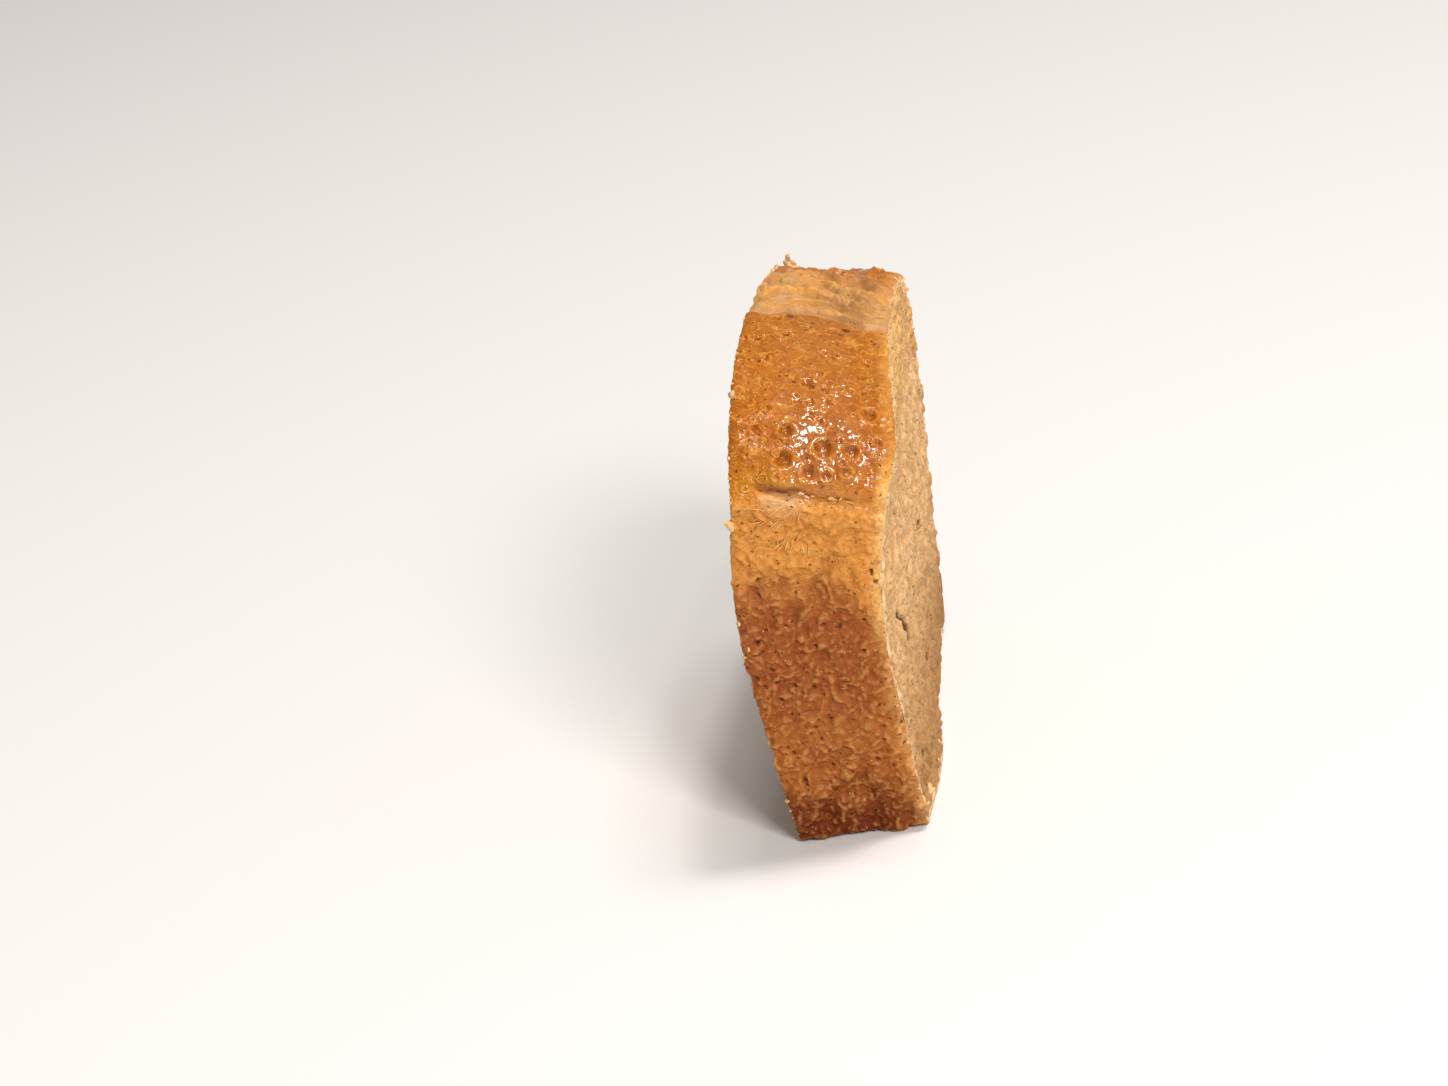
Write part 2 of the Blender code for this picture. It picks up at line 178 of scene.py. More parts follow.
# Rounded knobs of crust along the right edge of the dome: how far in from the cut, and their Y, in mm
KNOBS = ((1.5, 6), (1.5, 13), (1.5, 21), (1.5, 30), (5.5, 34), (9.5, 36), (1.5, 38), (1.5, 45))
KNOB_RADIUS = 3.6 * MM
KNOB_HEIGHT = 0.9 * MM

# Smaller knobs between them, which go on down the far wall: place along Y and Z, radius, in mm
SMALL_KNOBS = (
    (9.5, 88, 2.0), (17, 87, 2.4), (25, 86, 2.0), (34, 84, 2.3), (41, 80.5, 2.0), (47, 76.5, 2.2),
    (50.5, 71, 2.4), (50.6, 65.5, 2.2), (50, 60, 2.6), (49.6, 53, 2.0),
)
SMALL_KNOB_HEIGHT = 1.1 * MM

# The crust turns round each cut edge: how far in from the outline and from the cut, in mm
EDGE_TURN = (
    (5.0, 1.3), (4.0, 0.95), (3.1, 0.7), (2.4, 0.5), (1.9, 0.35), (1.5, 0.24), (1.2, 0.14), (0.95, 0.07),
    (0.7, 0.03), (0.45, 0.04), (0.2, 0.14), (0.04, 0.4),
)

# The skin between the turned edges starts this far from each cut, and its mesh steps are counted
# over this width; under the loaf they are longer
CUT_TO_SKIN = 0.7 * MM
CRUST_ACROSS = 25 * MM
CRUST_BASE_STEP = 1.2 * MM

# The crumb starts as a flat slab this far inside the crust, and what is past ON_CUT becomes its cuts
CRUMB_INSET = 0.8 * MM
SLAB_HALF = 12 * MM
ON_CUT = 11.5 * MM

# Mesh steps of the slab's outline, along its sides and along its foot
CRUMB_SIDE_STEP = 0.8 * MM
CRUMB_BASE_STEP = 1.5 * MM

# A hollow is what lies below the relief averaged this many times
CRUST_SMOOTHINGS = 12
CRUMB_SMOOTHINGS = 14

# Between the cuts the crumb's waist keeps clear of the crust, and on them it stands this proud
CRUMB_WAIST = 3.6 * MM
CRUMB_PROUD = 0.55 * MM

# Deep openings in the right cut: place along Y and Z, half lengths along Y and Z, in mm
RIGHT_OPENINGS = (
    (-27.2, 58.6, 1.7, 0.8), (3.6, 12.2, 1.8, 0.8), (-17.2, 17.6, 2.0, 0.9), (-40.4, 22.2, 1.3, 1.0),
    (-36.7, 17.9, 1.2, 0.6), (-45.2, 33.3, 0.9, 0.6), (10.0, 9.6, 1.5, 0.7), (21.8, 33.5, 1.9, 0.9),
    (21.5, 67.3, 2.0, 1.1), (27.3, 64.3, 1.6, 0.8), (-8.0, 50.0, 1.0, 0.6), (14.0, 44.0, 1.1, 0.6),
    (-38.0, 62.0, 1.1, 0.7), (-33.0, 10.0, 1.1, 0.6),
)

# The torn slit in the right cut: its two ends by Y and Z, and half its width, in mm
SLIT_TOP = np.array((-23.2, 36.2))
SLIT_FOOT = np.array((-19.8, 28.6))
SLIT_HALF_WIDTH = 1.5

# Larger crumbs that cling to the edges: place along X, Y and Z, radius, in mm
LARGE_CRUMBS = (
    (-14.0, -50.6, 66.5, 0.7), (-13.7, -50.4, 65.6, 0.5), (-11.3, -35.3, 85.0, 0.6),
    (-0.9, 33.0, 83.2, 1.3), (0.6, 32.4, 83.4, 1.1), (-2.1, 33.4, 83.0, 1.0), (-0.2, 33.2, 84.5, 1.0),
    (0.7, 33.2, 84.6, 0.6), (-0.7, 33.4, 85.1, 0.55), (0.1, 33.4, 85.7, 0.55), (-0.2, 33.3, 86.4, 0.4),
    (1.6, 32.0, 84.0, 0.5), (-2.4, 31.5, 84.4, 0.8), (-3.2, 30.0, 84.5, 0.6),
    (12.2, -50.8, 64.2, 0.5), (14.4, -40.0, 76.3, 0.6), (14.8, -38.6, 77.1, 0.5), (-14.6, -48.0, 41.3, 0.5),
)

# Shares of a crumb's radius: how deep a small one sinks in, and how far out a larger one rests
CRUMB_SUNK = 0.5
CRUMB_REST = 0.6

# Camera: how far it is turned and looks down, in degrees, its place beside the slice as baked,
# and the width of its sensor in millimetres
CAMERA_AZIMUTH = -4
CAMERA_DOWN = 22
CAMERA_PLACE = np.array((30.0, -701.29, 326.72)) * MM
SENSOR_WIDTH = 36

# Soft lights: name, the setting for its power, the share of it, size, place and the height it aims at
LIGHTS = (
    ("overhead_softbox", "key_power", 1.0, (0.3, 0.6), (0.34, 0.02, 1.55), 0.06),
    ("small_softbox", "glint_power", 1.0, (0.12, 0.12), (0.31, -0.03, 1.45), 0.06),
    ("near_softbox", "glint_power", 0.3, (0.08, 0.08), (0.33, -0.72, 1.18), 0.06),
    ("front_softbox", "fill_power", 1.0, (0.7, 0.7), (0.9, -1.9, 1.5), 0.05),
)

# The floor's width in metres, and the colour of the light from all round
FLOOR_SIZE = 12
WORLD_COLOUR = (1.0, 0.98, 0.95, 1.0)


# Settings


def length_property(name, about, default):
    """A length whose default is given in millimetres."""
    return bpy.props.FloatProperty(
        name=name, description=about, default=default * MM, min=0.0001, unit="LENGTH", precision=5)


def number_property(name, about, default, **more):
    """A plain number of at least 0, unless more says otherwise."""
    return bpy.props.FloatProperty(name=name, description=about, default=default, **{"min": 0, **more})


def colour_property(name, about, default):
    return bpy.props.FloatVectorProperty(
        name=name, description=about, default=default, subtype="COLOR", size=3, min=0, max=1)


def count_property(name, about, default):
    return bpy.props.IntProperty(name=name, description=about, default=default, min=0)


class SliceShape(bpy.types.PropertyGroup):
    base_half_width: length_property("Base half width", "Half the loaf's width at the bottom crust", 44.6)
    rim_half_width: length_property("Rim half width", "Half the loaf's width at the tin's rim", 51)
    rim_height: length_property("Rim height", "Height of the ledge that the tin's rim left", RIM_HEIGHT)
    crown_height: length_property("Crown height", "Height of the dome's top", 88.5)
    dome_squareness: number_property(
        "Dome squareness", "2 makes the dome an ellipse and more makes it squarer", 1.9, min=1.2, max=4)
    foot_radius: length_property("Foot radius", "Rounding between the bottom crust and the walls", 2.2)
    sag_slope: number_property("Sag", "How much the layers fall towards the right cut at the rim", 0.148)
    crown_sag_slope: number_property("Crown sag", "How much more they fall at the crown", 0.08)
    crust_step: length_property("Crust mesh step", "Length of one face of the crust", 0.31)
    crumb_step: length_property("Crumb mesh step", "Length of one face of the crumb", 0.51)


class CrustLook(bpy.types.PropertyGroup):
    foot: colour_property("Foot", "Crust at the bottom edge", (0.15, 0.024, 0.002))
    low: colour_property("Low wall", "Crust on the lower wall", (0.355, 0.110, 0.020))
    band: colour_property("Dark band", "Browner band halfway up the wall", (0.30, 0.080, 0.015))
    high: colour_property("High wall", "Pale golden crust under the ledge", (0.65, 0.275, 0.053))
    shoulder: colour_property("Shoulder", "Golden crust of the dome's shoulders", (0.375, 0.106, 0.003))
    amber: colour_property("Amber patches", "Deeper patches on the shoulders", (0.325, 0.085, 0.002))
    gilt: colour_property("Olive gold", "Paler crust low on the shoulders", (0.41, 0.148, 0.004))
    torn: colour_property("Torn split", "Pale torn crumb in the split", (0.425, 0.228, 0.080))


class CrumbLook(bpy.types.PropertyGroup):
    pale: colour_property("Crumb", "Crumb on the cuts", (0.72, 0.45, 0.215))
    # Painted shade of the crumb deep in its holes and pores
    deep: colour_property("Hollows", "Crumb deep in its holes", (0.40, 0.18, 0.06))
    # Real dark specks, also laid as painted shade in the deep openings of the right cut
    speck_and_hole_shade: colour_property("Specks", "Dark specks", (0.12, 0.046, 0.015))
    holes_a_cut: count_property("Holes", "Open bubbles on each cut", 420)


class LooseCrumbs(bpy.types.PropertyGroup):
    along_edges: count_property("Along the edges", "Crumbs that cling to the cut edges", 170)
    largest: length_property("Largest", "Radius of the largest crumb", 0.8)
    flakes: count_property("Flakes", "Thin chips of torn crust along the ledge", 44)
    threads: count_property("Threads", "Pale threads at the top left of the wall", 90)


class Studio(bpy.types.PropertyGroup):
    floor_colour: colour_property("Floor", "Colour of the pale floor", (0.70, 0.665, 0.635))
    key_power: number_property("Key light", "Power of the softbox overhead", 13, unit="POWER")
    glint_power: number_property("Glint light", "Power of the small softbox overhead", 5, unit="POWER")
    fill_power: number_property("Fill light", "Power of the fill beside the camera", 50, unit="POWER")
    sky: number_property("Room light", "Strength of the light from all round", 0.30)
    lens: number_property("Lens", "Focal length in millimetres", 100, min=1, unit="CAMERA")
    roll: number_property(
        "Roll", "How far the camera is rolled", math.radians(9.5909), min=-math.pi, subtype="ANGLE")


# Shape of the loaf


def bump(distance, spread):
    """1 where distance is 0, falling smoothly to 0."""
    return np.exp(-((distance / spread) ** 2))


def ramp(value, start, end):
    """0 before start and 1 after end, with a smooth step between them."""
    t = np.clip((value - start) / (end - start), 0.0, 1.0)
    return t * t * (3.0 - 2.0 * t)


def noise_at(points, size, offset):
    """Smooth noise from -1 to 1 at each point, with lumps of this size, or of these three sizes.

    The offset only keeps one pattern apart from the others.
    """
    places = points / np.asarray(size) + offset
    return np.array([noise.noise(place) for place in places.tolist()])


def swirled(points, size, offset, reach):
    """The points, each moved up to about reach by noise, so that patterns on them curl."""
    places = (points / size + offset).tolist()
    return points + reach * np.array([tuple(noise.noise_vector(place)) for place in places])


def curve_through(heights, places, z):
    """Places at the heights z, on a smooth curve through the given ones."""
    slopes = np.gradient(places, heights)
    lower = np.clip(np.searchsorted(heights, z) - 1, 0, len(heights) - 2)
    span = heights[lower + 1] - heights[lower]
    t = np.clip((z - heights[lower]) / span, 0.0, 1.0)
    start = places[lower] * (1 + 2 * t) * (1 - t) ** 2 + slopes[lower] * span * t * (1 - t) ** 2
    end = places[lower + 1] * t * t * (3 - 2 * t) + slopes[lower + 1] * span * t * t * (t - 1)
    return start + end


def cut_places(shape, y, z):
    """Sideways place of the left and the right cut at each point."""
    depth = (y / shape.base_half_width + 1.0) / 2.0
    left_near, left_far, right_near, right_far = (
        curve_through(CUT_HEIGHTS, places, z)
        for places in (LEFT_CUT_NEAR, LEFT_CUT_FAR, RIGHT_CUT_NEAR, RIGHT_CUT_FAR))
    left = left_near + (left_far - left_near) * depth
    right = right_near + (right_far - right_near) * depth
    swell = bump(y - FOOT_SWELL_CENTRE, FOOT_SWELL_REACH) * (1 - ramp(z, 0.0, FOOT_SWELL_HEIGHT))
    return left, right + FOOT_SWELL * swell


def sag_at(shape, x, z):
    """How far a point that was z high in the tin has sunk."""
    slope = shape.sag_slope * ramp(z, 0.0, shape.rim_height)
    slope += shape.crown_sag_slope * ramp(z, shape.rim_height, shape.crown_height)
    return slope * x


def dome_height(shape, y):
    across = np.abs(y / shape.rim_half_width)
    power = shape.dome_squareness
    up = np.clip(1 - across**power, 0, 1) ** (1 / power)
    return shape.rim_height + (shape.crown_height - shape.rim_height) * up


def half_outline(shape):
    """The far half of the loaf's outline, from the middle of the bottom crust to the crown."""
    radius = shape.foot_radius
    points = [(0.0, 0.0)]
    for step in range(FOOT_ARC_STEPS + 1):
        angle = math.radians(90) * step / FOOT_ARC_STEPS
        y = shape.base_half_width - radius + radius * math.sin(angle)
        points.append((y, radius * (1 - math.cos(angle))))
    power = 2 / shape.dome_squareness
    rise = shape.crown_height - shape.rim_height
    for step in range(DOME_ARC_STEPS + 1):
        angle = math.radians(90) * step / DOME_ARC_STEPS
        up = rise * math.sin(angle) ** power
        points.append((shape.rim_half_width * math.cos(angle) ** power, shape.rim_height + up))
    return np.array(points)


def drawn_in(places, inset):
    """Points of the outline drawn in towards the middle of the section by about this far."""
    return SECTION_MIDDLE + (places - SECTION_MIDDLE) * (1 - inset / SECTION_REACH)


def edge_pull(shape, flat, share):
    """How far the loaf's outline is drawn in: share is -1 at the left cut and 1 at the right cut."""
    above = ramp(flat[:, 2], shape.rim_height, shape.rim_height + 5 * MM)
    places = np.column_stack((np.sign(share) * 50 * MM, flat[:, 1], flat[:, 2]))
    wear = np.clip(0.5 + noise_at(places, 5 * MM, 31) + 0.8 * noise_at(places, 1.8 * MM, 33), 0, 1.6)
    pull = EDGE_DROP * above * share**2 + EDGE_WEAR * wear * ramp(np.abs(share), 0.86, 1.0)
    return pull * ramp(flat[:, 2], 0.5 * MM, 4 * MM)


def outline_steps(shape, step, base_step):
    """Points around the outline from the middle of the bottom crust."""
    far = half_outline(shape)
    loop = np.vstack((far, far[-2::-1] * (-1, 1)))
    lengths = np.hypot(*np.diff(loop, axis=0).T)
    along = np.concatenate(((0.0,), np.cumsum(lengths)))
    base = shape.base_half_width - shape.foot_radius
    base_marks = np.linspace(0.0, base, max(int(base / base_step), 2), endpoint=False)
    side_marks = np.arange(base, along[-1] - base, step)
    marks = np.concatenate((base_marks, side_marks, along[-1] - base_marks[::-1]))
    return np.column_stack([np.interp(marks, along, loop[:, axis]) for axis in (0, 1)])


# Relief of the crust


def split_lips(x):
    """Where the two lips of the split run, across the loaf."""
    drift = ramp(x, DRIFT_START, DRIFT_END)
    wave = LIP_WAVE * (np.sin(x / LIP_WAVE_LENGTH) + 0.6 * np.sin(2 * x / LIP_WAVE_LENGTH + 1))
    near_lip = SPLIT_NEAR_LIP + NEAR_LIP_DRIFT * drift + wave
    return near_lip, SPLIT_FAR_LIP + FAR_LIP_DRIFT * drift - wave


def above_rim(shape, points):
    """0 at the rim and 1 near the crown."""
    return ramp(points[:, 2], shape.rim_height, shape.crown_height - CROWN_MARGIN)


def split_share(shape, points):
    """1 inside the torn split and 0 on the crust beside it."""
    near_lip, far_lip = split_lips(points[:, 0])
    y = points[:, 1]
    opened = ramp(y, near_lip - LIP_SOFTNESS / 2, near_lip + LIP_SOFTNESS / 2)
    closed = ramp(y, far_lip - LIP_SOFTNESS / 2, far_lip + LIP_SOFTNESS / 2)
    return opened * (1.0 - closed) * above_rim(shape, points)


def split_relief(points):
    """Long torn ledges that step up from the near lip to the far lip, with holes under them."""
    near_lip, far_lip = split_lips(points[:, 0])
    across = (points[:, 1] - near_lip) / (far_lip - near_lip)
    sway = noise_at(points, 9 * MM, 3) + 0.4 * noise_at(points, 4 * MM, 45)
    count = SPLIT_LEDGES * across + 0.65 * sway
    part = count - np.floor(count)
    ledge = ramp(part, 0.0, 0.2) * (1 - ramp(part, 0.2, 1.05))
    relief = -SPLIT_DEPTH * np.sqrt(np.clip(1.0 - across, 0.0, 1.0)) * ramp(points[:, 0], 26 * MM, 4 * MM)
    relief += 1.7 * SPLIT_LEDGE_HEIGHT * ledge
    strands = np.column_stack((points[:, 0], across * SPLIT_WIDTH, np.zeros(len(points))))
    layers = noise_at(strands, np.array((12, 1.6, 1)) * MM, 41)
    fibres = noise_at(strands, np.array((7, 0.9, 1)) * MM, 43)
    relief += 1.5 * MM * (0.15 - np.abs(layers)) + 0.6 * MM * fibres
    beads = ramp(across, 0.3, 0.45) * (1 - ramp(across, 0.6, 0.8))
    relief += (0.5 + 0.8 * beads) * MM * (0.3 - np.abs(noise_at(points, 1.7 * MM, 47)))
    for x, y, half_x, half_y, depth in SPLIT_HOLES:
        reach = np.hypot((points[:, 0] / MM - x) / half_x, (points[:, 1] / MM - y) / (0.7 * half_y))
        reach += 0.35 * noise_at(points, 1.5 * MM, 55)
        relief -= 1.4 * depth * MM * np.exp(-(np.maximum(reach, 0) ** 4))
    return relief


def lip_share(shape, points):
    """1 along the thin browned edges of crust on both sides of the split."""
    near_lip, far_lip = split_lips(points[:, 0])
    sway = 0.8 * MM * noise_at(points, 2.6 * MM, 49)
    near = 0.6 * bump(points[:, 1] - near_lip + 0.7 * MM + 1.5 * sway, 0.5 * MM)
    far = 0.6 * bump(points[:, 1] - far_lip - 0.6 * MM + sway, 1.3 * MM)
    return (near + far) * above_rim(shape, points)


def scorched_share(points):
    """1 in the scorched spots of the near lip."""
    share = np.zeros(len(points))
    for x, y, radius in SCORCHED:
        reach = np.hypot(points[:, 0] / MM - x, points[:, 1] / MM - y) / radius
        share = np.maximum(share, np.exp(-((reach + 0.5 * noise_at(points, 0.8 * MM, 53)) ** 2)))
    return share * (points[:, 2] > 60 * MM)


def far_lip_relief(shape, points):
    """The far crust curls up a little along the split."""
    far_lip = split_lips(points[:, 0])[1]
    beyond = bump(points[:, 1] - far_lip - LIP_SOFTNESS, 2 * LIP_SOFTNESS)
    return FAR_LIP_RISE * beyond * above_rim(shape, points)


def near_x(points):
    """Place along X on the near side; the far side is the near one turned about."""
    return np.where(points[:, 1] < 0, points[:, 0], 2 * PITS_TURN_ABOUT * MM - points[:, 0])


def above_ledge(shape, points):
    """Height over the ledge's line, which wavers and falls a little from left to right."""
    falls = LEDGE_FALL * (near_x(points) + 3 * MM)
    waver = 1.0 * MM * noise_at(points, 9 * MM, 5) + 0.8 * MM * noise_at(points, 3.2 * MM, 9)
    return points[:, 2] - shape.rim_height + falls + waver


def crack_shadow_share(shape, points):
    """1 in the thin crack under the overhang, where the material paints its shadow dark."""
    along = near_x(points)
    crack = bump(above_ledge(shape, points) - NOTCH_ABOVE_RIM, 0.3 * MM)
    return 0.8 * crack * ramp(along, -8.5 * MM, -6.5 * MM) * ramp(along, -0.5 * MM, -4 * MM)


def rim_relief(shape, points):
    """The wall's swollen top edge and the groove between it and the dome."""
    along = near_x(points) / MM
    above = above_ledge(shape, points)
    depth, width, overhang = (
        np.interp(along, LEDGE_X, values) * MM for values in (NOTCH_DEPTHS, NOTCH_WIDTHS, OVERHANGS))
    lip = LIP_BULGE * bump(above + LIP_BELOW_RIM, LIP_SPREAD)
    notch = depth * bump(above - NOTCH_ABOVE_RIM, width) * (1.0 + 0.5 * noise_at(points, 3 * MM, 6))
    hanging = overhang * ramp(above, NOTCH_ABOVE_RIM + 0.3 * MM, NOTCH_ABOVE_RIM + 1.4 * MM)
    return lip - notch + hanging * (1 - ramp(above, 3 * MM, 7 * MM))


def on_dome(shape, x, y):
    """The point of the smooth dome above x and y."""
    top = dome_height(shape, y)
    return np.array((x, y, top - sag_at(shape, x, top)))


def pit_places(shape, side):
    """Centres and radii of one shoulder's pits: the large ones, then small ones clear of them."""
    rng = random.Random(SEED + side)
    pits = []
    for x, y, radius in LARGE_PITS:
        if side == FAR:
            x, y = 2 * PITS_TURN_ABOUT - x, -y
        pits.append((on_dome(shape, x * MM, y * MM), radius * MM))
    while len(pits) < len(LARGE_PITS) + SMALL_PITS_A_SIDE:
        x = rng.uniform(PITS_FROM * MM, PITS_TO * MM)
        near_lip, far_lip = split_lips(x)
        lip = -near_lip if side == NEAR else far_lip
        y = side * rng.uniform(lip + CLEAR_OF_SPLIT * MM, shape.rim_half_width)
        centre = on_dome(shape, x, y)
        radius = rng.uniform(SMALL_PIT_RADIUS[0] * MM, SMALL_PIT_RADIUS[1] * MM)
        gaps = [np.linalg.norm(centre - other) / (radius + size) for other, size in pits]
        if min(gaps) > PIT_SPACING:
            pits.append((centre, radius))
    return pits


def shoulder_pits(shape, points):
    """Round pits with slightly raised rims, none of them quite round."""
    relief = np.zeros(len(points))
    shaken = np.column_stack([noise_at(points, 1.8 * MM, 101 + axis) for axis in range(3)])
    points = points + 0.6 * MM * shaken
    for centre, radius in pit_places(shape, NEAR) + pit_places(shape, FAR):
        reach = np.linalg.norm(points - centre, axis=1) / radius
        relief += radius * (0.10 * bump(reach - 1.0, 0.22) - 0.62 * np.exp(-((reach / 0.62) ** 4)))
    return relief


def knob_relief(shape, flat, from_cut):
    """Rounded knobs along the right edge of the dome."""
    relief = np.zeros(len(flat))
    for inset, y in np.array(KNOBS) * MM:
        apart = np.column_stack((from_cut - inset, flat[:, 1] - y, flat[:, 2] - dome_height(shape, y)))
        relief += KNOB_HEIGHT * bump(np.linalg.norm(apart, axis=1), KNOB_RADIUS)
    knobs = np.zeros(len(flat))
    for y, z, radius in SMALL_KNOBS:
        apart = np.column_stack((from_cut - 0.8 * MM, flat[:, 1] - y * MM, flat[:, 2] - z * MM))
        reach = np.linalg.norm(apart / (radius * MM), axis=1)
        knobs = np.maximum(knobs, np.exp(-(reach**3)))
    between_knobs = ramp(from_cut, 5 * MM, 2 * MM) * ramp(flat[:, 1], 4 * MM, 10 * MM)
    between_knobs *= ramp(flat[:, 2], 44 * MM, 54 * MM)
    return relief + SMALL_KNOB_HEIGHT * (knobs - 0.4 * between_knobs)


# Meshes


def points_of(mesh):
    points = np.empty(len(mesh.vertices) * 3)
    mesh.vertices.foreach_get("co", points)
    return points.reshape(-1, 3)


def normals_of(mesh):
    normals = np.empty(len(mesh.vertices) * 3)
    mesh.vertices.foreach_get("normal", normals)
    return normals.reshape(-1, 3)


def set_points(mesh, points):
    mesh.vertices.foreach_set("co", np.ascontiguousarray(points).ravel())
    mesh.update()


def store(mesh, name, values):
    """Keeps one number a point on the mesh, for its material to read."""
    attribute = mesh.attributes.new(name, "FLOAT", "POINT")
    attribute.data.foreach_set("value", np.asarray(values, np.float32))


def kept_values(mesh, name):
    values = np.empty(len(mesh.vertices), np.float32)
    mesh.attributes[name].data.foreach_get("value", values)
    return values


def smoothed(mesh, values, rounds):
    """Each point's value averaged with its neighbours' a number of times."""
    pairs = np.empty(len(mesh.edges) * 2, np.int64)
    mesh.edges.foreach_get("vertices", pairs)
    starts, stops = pairs.reshape(-1, 2).T
    ends = np.concatenate((starts, stops))
    others = np.concatenate((stops, starts))
    count = np.bincount(ends, minlength=len(values))
    for _ in range(rounds):
        around = np.bincount(ends, weights=values[others], minlength=len(values))
        values = (values + around / np.maximum(count, 1)) / 2
    return values


def finish_piece(piece, material):
    """Gives a piece its material and smooth shading, and ties it to the slice."""
    piece.data.materials.clear()
    piece.data.materials.append(material)
    bpy.ops.object.select_all(action="DESELECT")
    piece.select_set(True)
    bpy.context.view_layer.objects.active = piece
    bpy.ops.object.shade_smooth_by_angle(angle=SMOOTH_ANGLE)
    piece.select_set(False)
    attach(piece, "root")
    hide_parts(NODE)


def apply_all(piece):
    bpy.context.view_layer.objects.active = piece
    for modifier in list(piece.modifiers):
        bpy.ops.object.modifier_apply(modifier=modifier.name)


# Crust


def crust_grid(shape):
    """The crust as a grid: around the loaf by rows, and from cut edge to cut edge by columns."""
    places = outline_steps(shape, shape.crust_step, CRUST_BASE_STEP)
    turn = np.array(EDGE_TURN) * MM
    shares = np.linspace(0, 1, int(CRUST_ACROSS / shape.crust_step))
    columns = 2 * len(turn) + len(shares) + 1
    rows = len(places)
    bpy.ops.mesh.primitive_grid_add(x_subdivisions=columns - 1, y_subdivisions=rows - 1, size=1)
    piece = bpy.context.object
    piece.name = piece.data.name = "browned_crust"
    left, right = cut_places(shape, places[:, 0], places[:, 1])
    flat = np.empty((rows, columns, 3))
    inset_at = np.zeros((rows, columns))
    for column in range(columns):
        if column < len(turn) or column == columns - 1:
            inset, gap = turn[column % (columns - 1)]
            x = left + gap
        elif column >= columns - 1 - len(turn):
            inset, gap = turn[columns - 2 - column]
            x = right - gap
        else:
            inset = 0.0
            x = left + CUT_TO_SKIN + (right - left - 2 * CUT_TO_SKIN) * shares[column - len(turn)]
        flat[:, column, 0] = x
        flat[:, column, 1:] = drawn_in(places, inset)
        inset_at[:, column] = inset
    flat = flat.reshape(-1, 3)
    inset_at = inset_at.ravel()
    left, right = cut_places(shape, flat[:, 1], flat[:, 2])
    share = np.clip((2 * flat[:, 0] - left - right) / (right - left), -1, 1)
    share = np.where(inset_at > 0, np.sign(share), share)
    pull = edge_pull(shape, flat, share) * (1 - ramp(inset_at, 2 * MM, 5 * MM))
    flat[:, 1:] = drawn_in(flat[:, 1:], pull[:, None])
    return piece, flat, inset_at, rows


def close_crust(piece):
    """Joins the grid's first and last rows, and its first and last columns, into a closed band."""
    bpy.context.view_layer.objects.active = piece
    bpy.ops.object.mode_set(mode="EDIT")
    bpy.ops.mesh.select_all(action="SELECT")
    bpy.ops.mesh.remove_doubles(threshold=0.00001)
    bpy.ops.mesh.select_all(action="SELECT")
    bpy.ops.mesh.normals_make_consistent(inside=False)
    bpy.ops.object.mode_set(mode="OBJECT")


def wall_relief(points, curls):
    """Craggy, finely wrinkled crust that was pressed against the tin."""
    crags = 0.15 - np.abs(noise_at(points, 4.2 * MM, 11))
    wrinkles = np.abs(noise_at(curls, 1.7 * MM, 51))
    grain = np.abs(noise_at(points, 1.0 * MM, 57))
    lobes = 1.3 * MM * noise_at(points, 4.5 * MM, 63) * ramp(points[:, 2], 30 * MM, 6 * MM)
    return lobes + 1.2 * MM * crags + 0.75 * MM * (wrinkles - 0.2) + 0.45 * MM * (grain - 0.2)


def dome_relief(points, curls):
    """Smoother crust with soft dents, curled wrinkles and small blisters."""
    relief = 0.45 * MM * noise_at(points, 5.5 * MM, 13)
    relief += 0.16 * MM * (np.abs(noise_at(curls, 2.2 * MM, 61)) - 0.2)
    relief += 0.03 * MM * noise_at(curls, 0.9 * MM, 67)
    return relief


def wall_pores(points):
    """Small deep holes in the wall crust, where bubbles broke."""
    rng = random.Random(SEED + 6)
    share = np.zeros(len(points))
    strewn = [(rng.uniform(-15, 15), rng.uniform(8, 62), rng.uniform(0.2, 0.34)) for _ in range(STREWN_PORES)]
    for x, z, radius in (*PLACED_PORES, *strewn):
        for side in (NEAR, FAR):
            along = x if side == NEAR else 2 * PITS_TURN_ABOUT - x
            close = np.flatnonzero((side * points[:, 1] > 40 * MM) & (np.abs(points[:, 2] - z * MM) < 3 * MM))
            reach = np.hypot(points[close, 0] / MM - along, points[close, 2] / MM - z) / radius
            reach += 0.7 * noise_at(points[close], 0.9 * MM, 59)
            share[close] = np.maximum(share[close], np.exp(-(np.maximum(reach, 0.0) ** 3)))
    return share


def blisters(shape, points):
    """Small blown bubbles in the shoulder crust: a thin raised ring round a dimple."""
    rng = random.Random(SEED + 5)
    relief = np.zeros(len(points))
    for _ in range(BLISTERS):
        x = rng.uniform(-15, 20) * MM
        y = rng.choice((NEAR, FAR)) * rng.uniform(14, 50.5) * MM
        radius = (0.45 + 0.75 * rng.random() ** 2.5) * MM
        reach = np.linalg.norm(points - on_dome(shape, x, y), axis=1) / radius
        relief += 0.42 * radius * (bump(reach - 1.0, 0.35) - 0.6 * bump(reach, 0.6))
    return relief


def rim_grain(points, inset):
    """Torn crumb where the crust turns over the cut edge: it falls away under the crumb's face."""
    grain = 0.3 * MM * noise_at(points, 1.3 * MM, 71) + 0.2 * MM * noise_at(points, 0.7 * MM, 73)
    return (grain - 0.3 * MM * ramp(inset, 1.2 * MM, 4.0 * MM)) * ramp(inset, 0.1 * MM, 0.6 * MM)


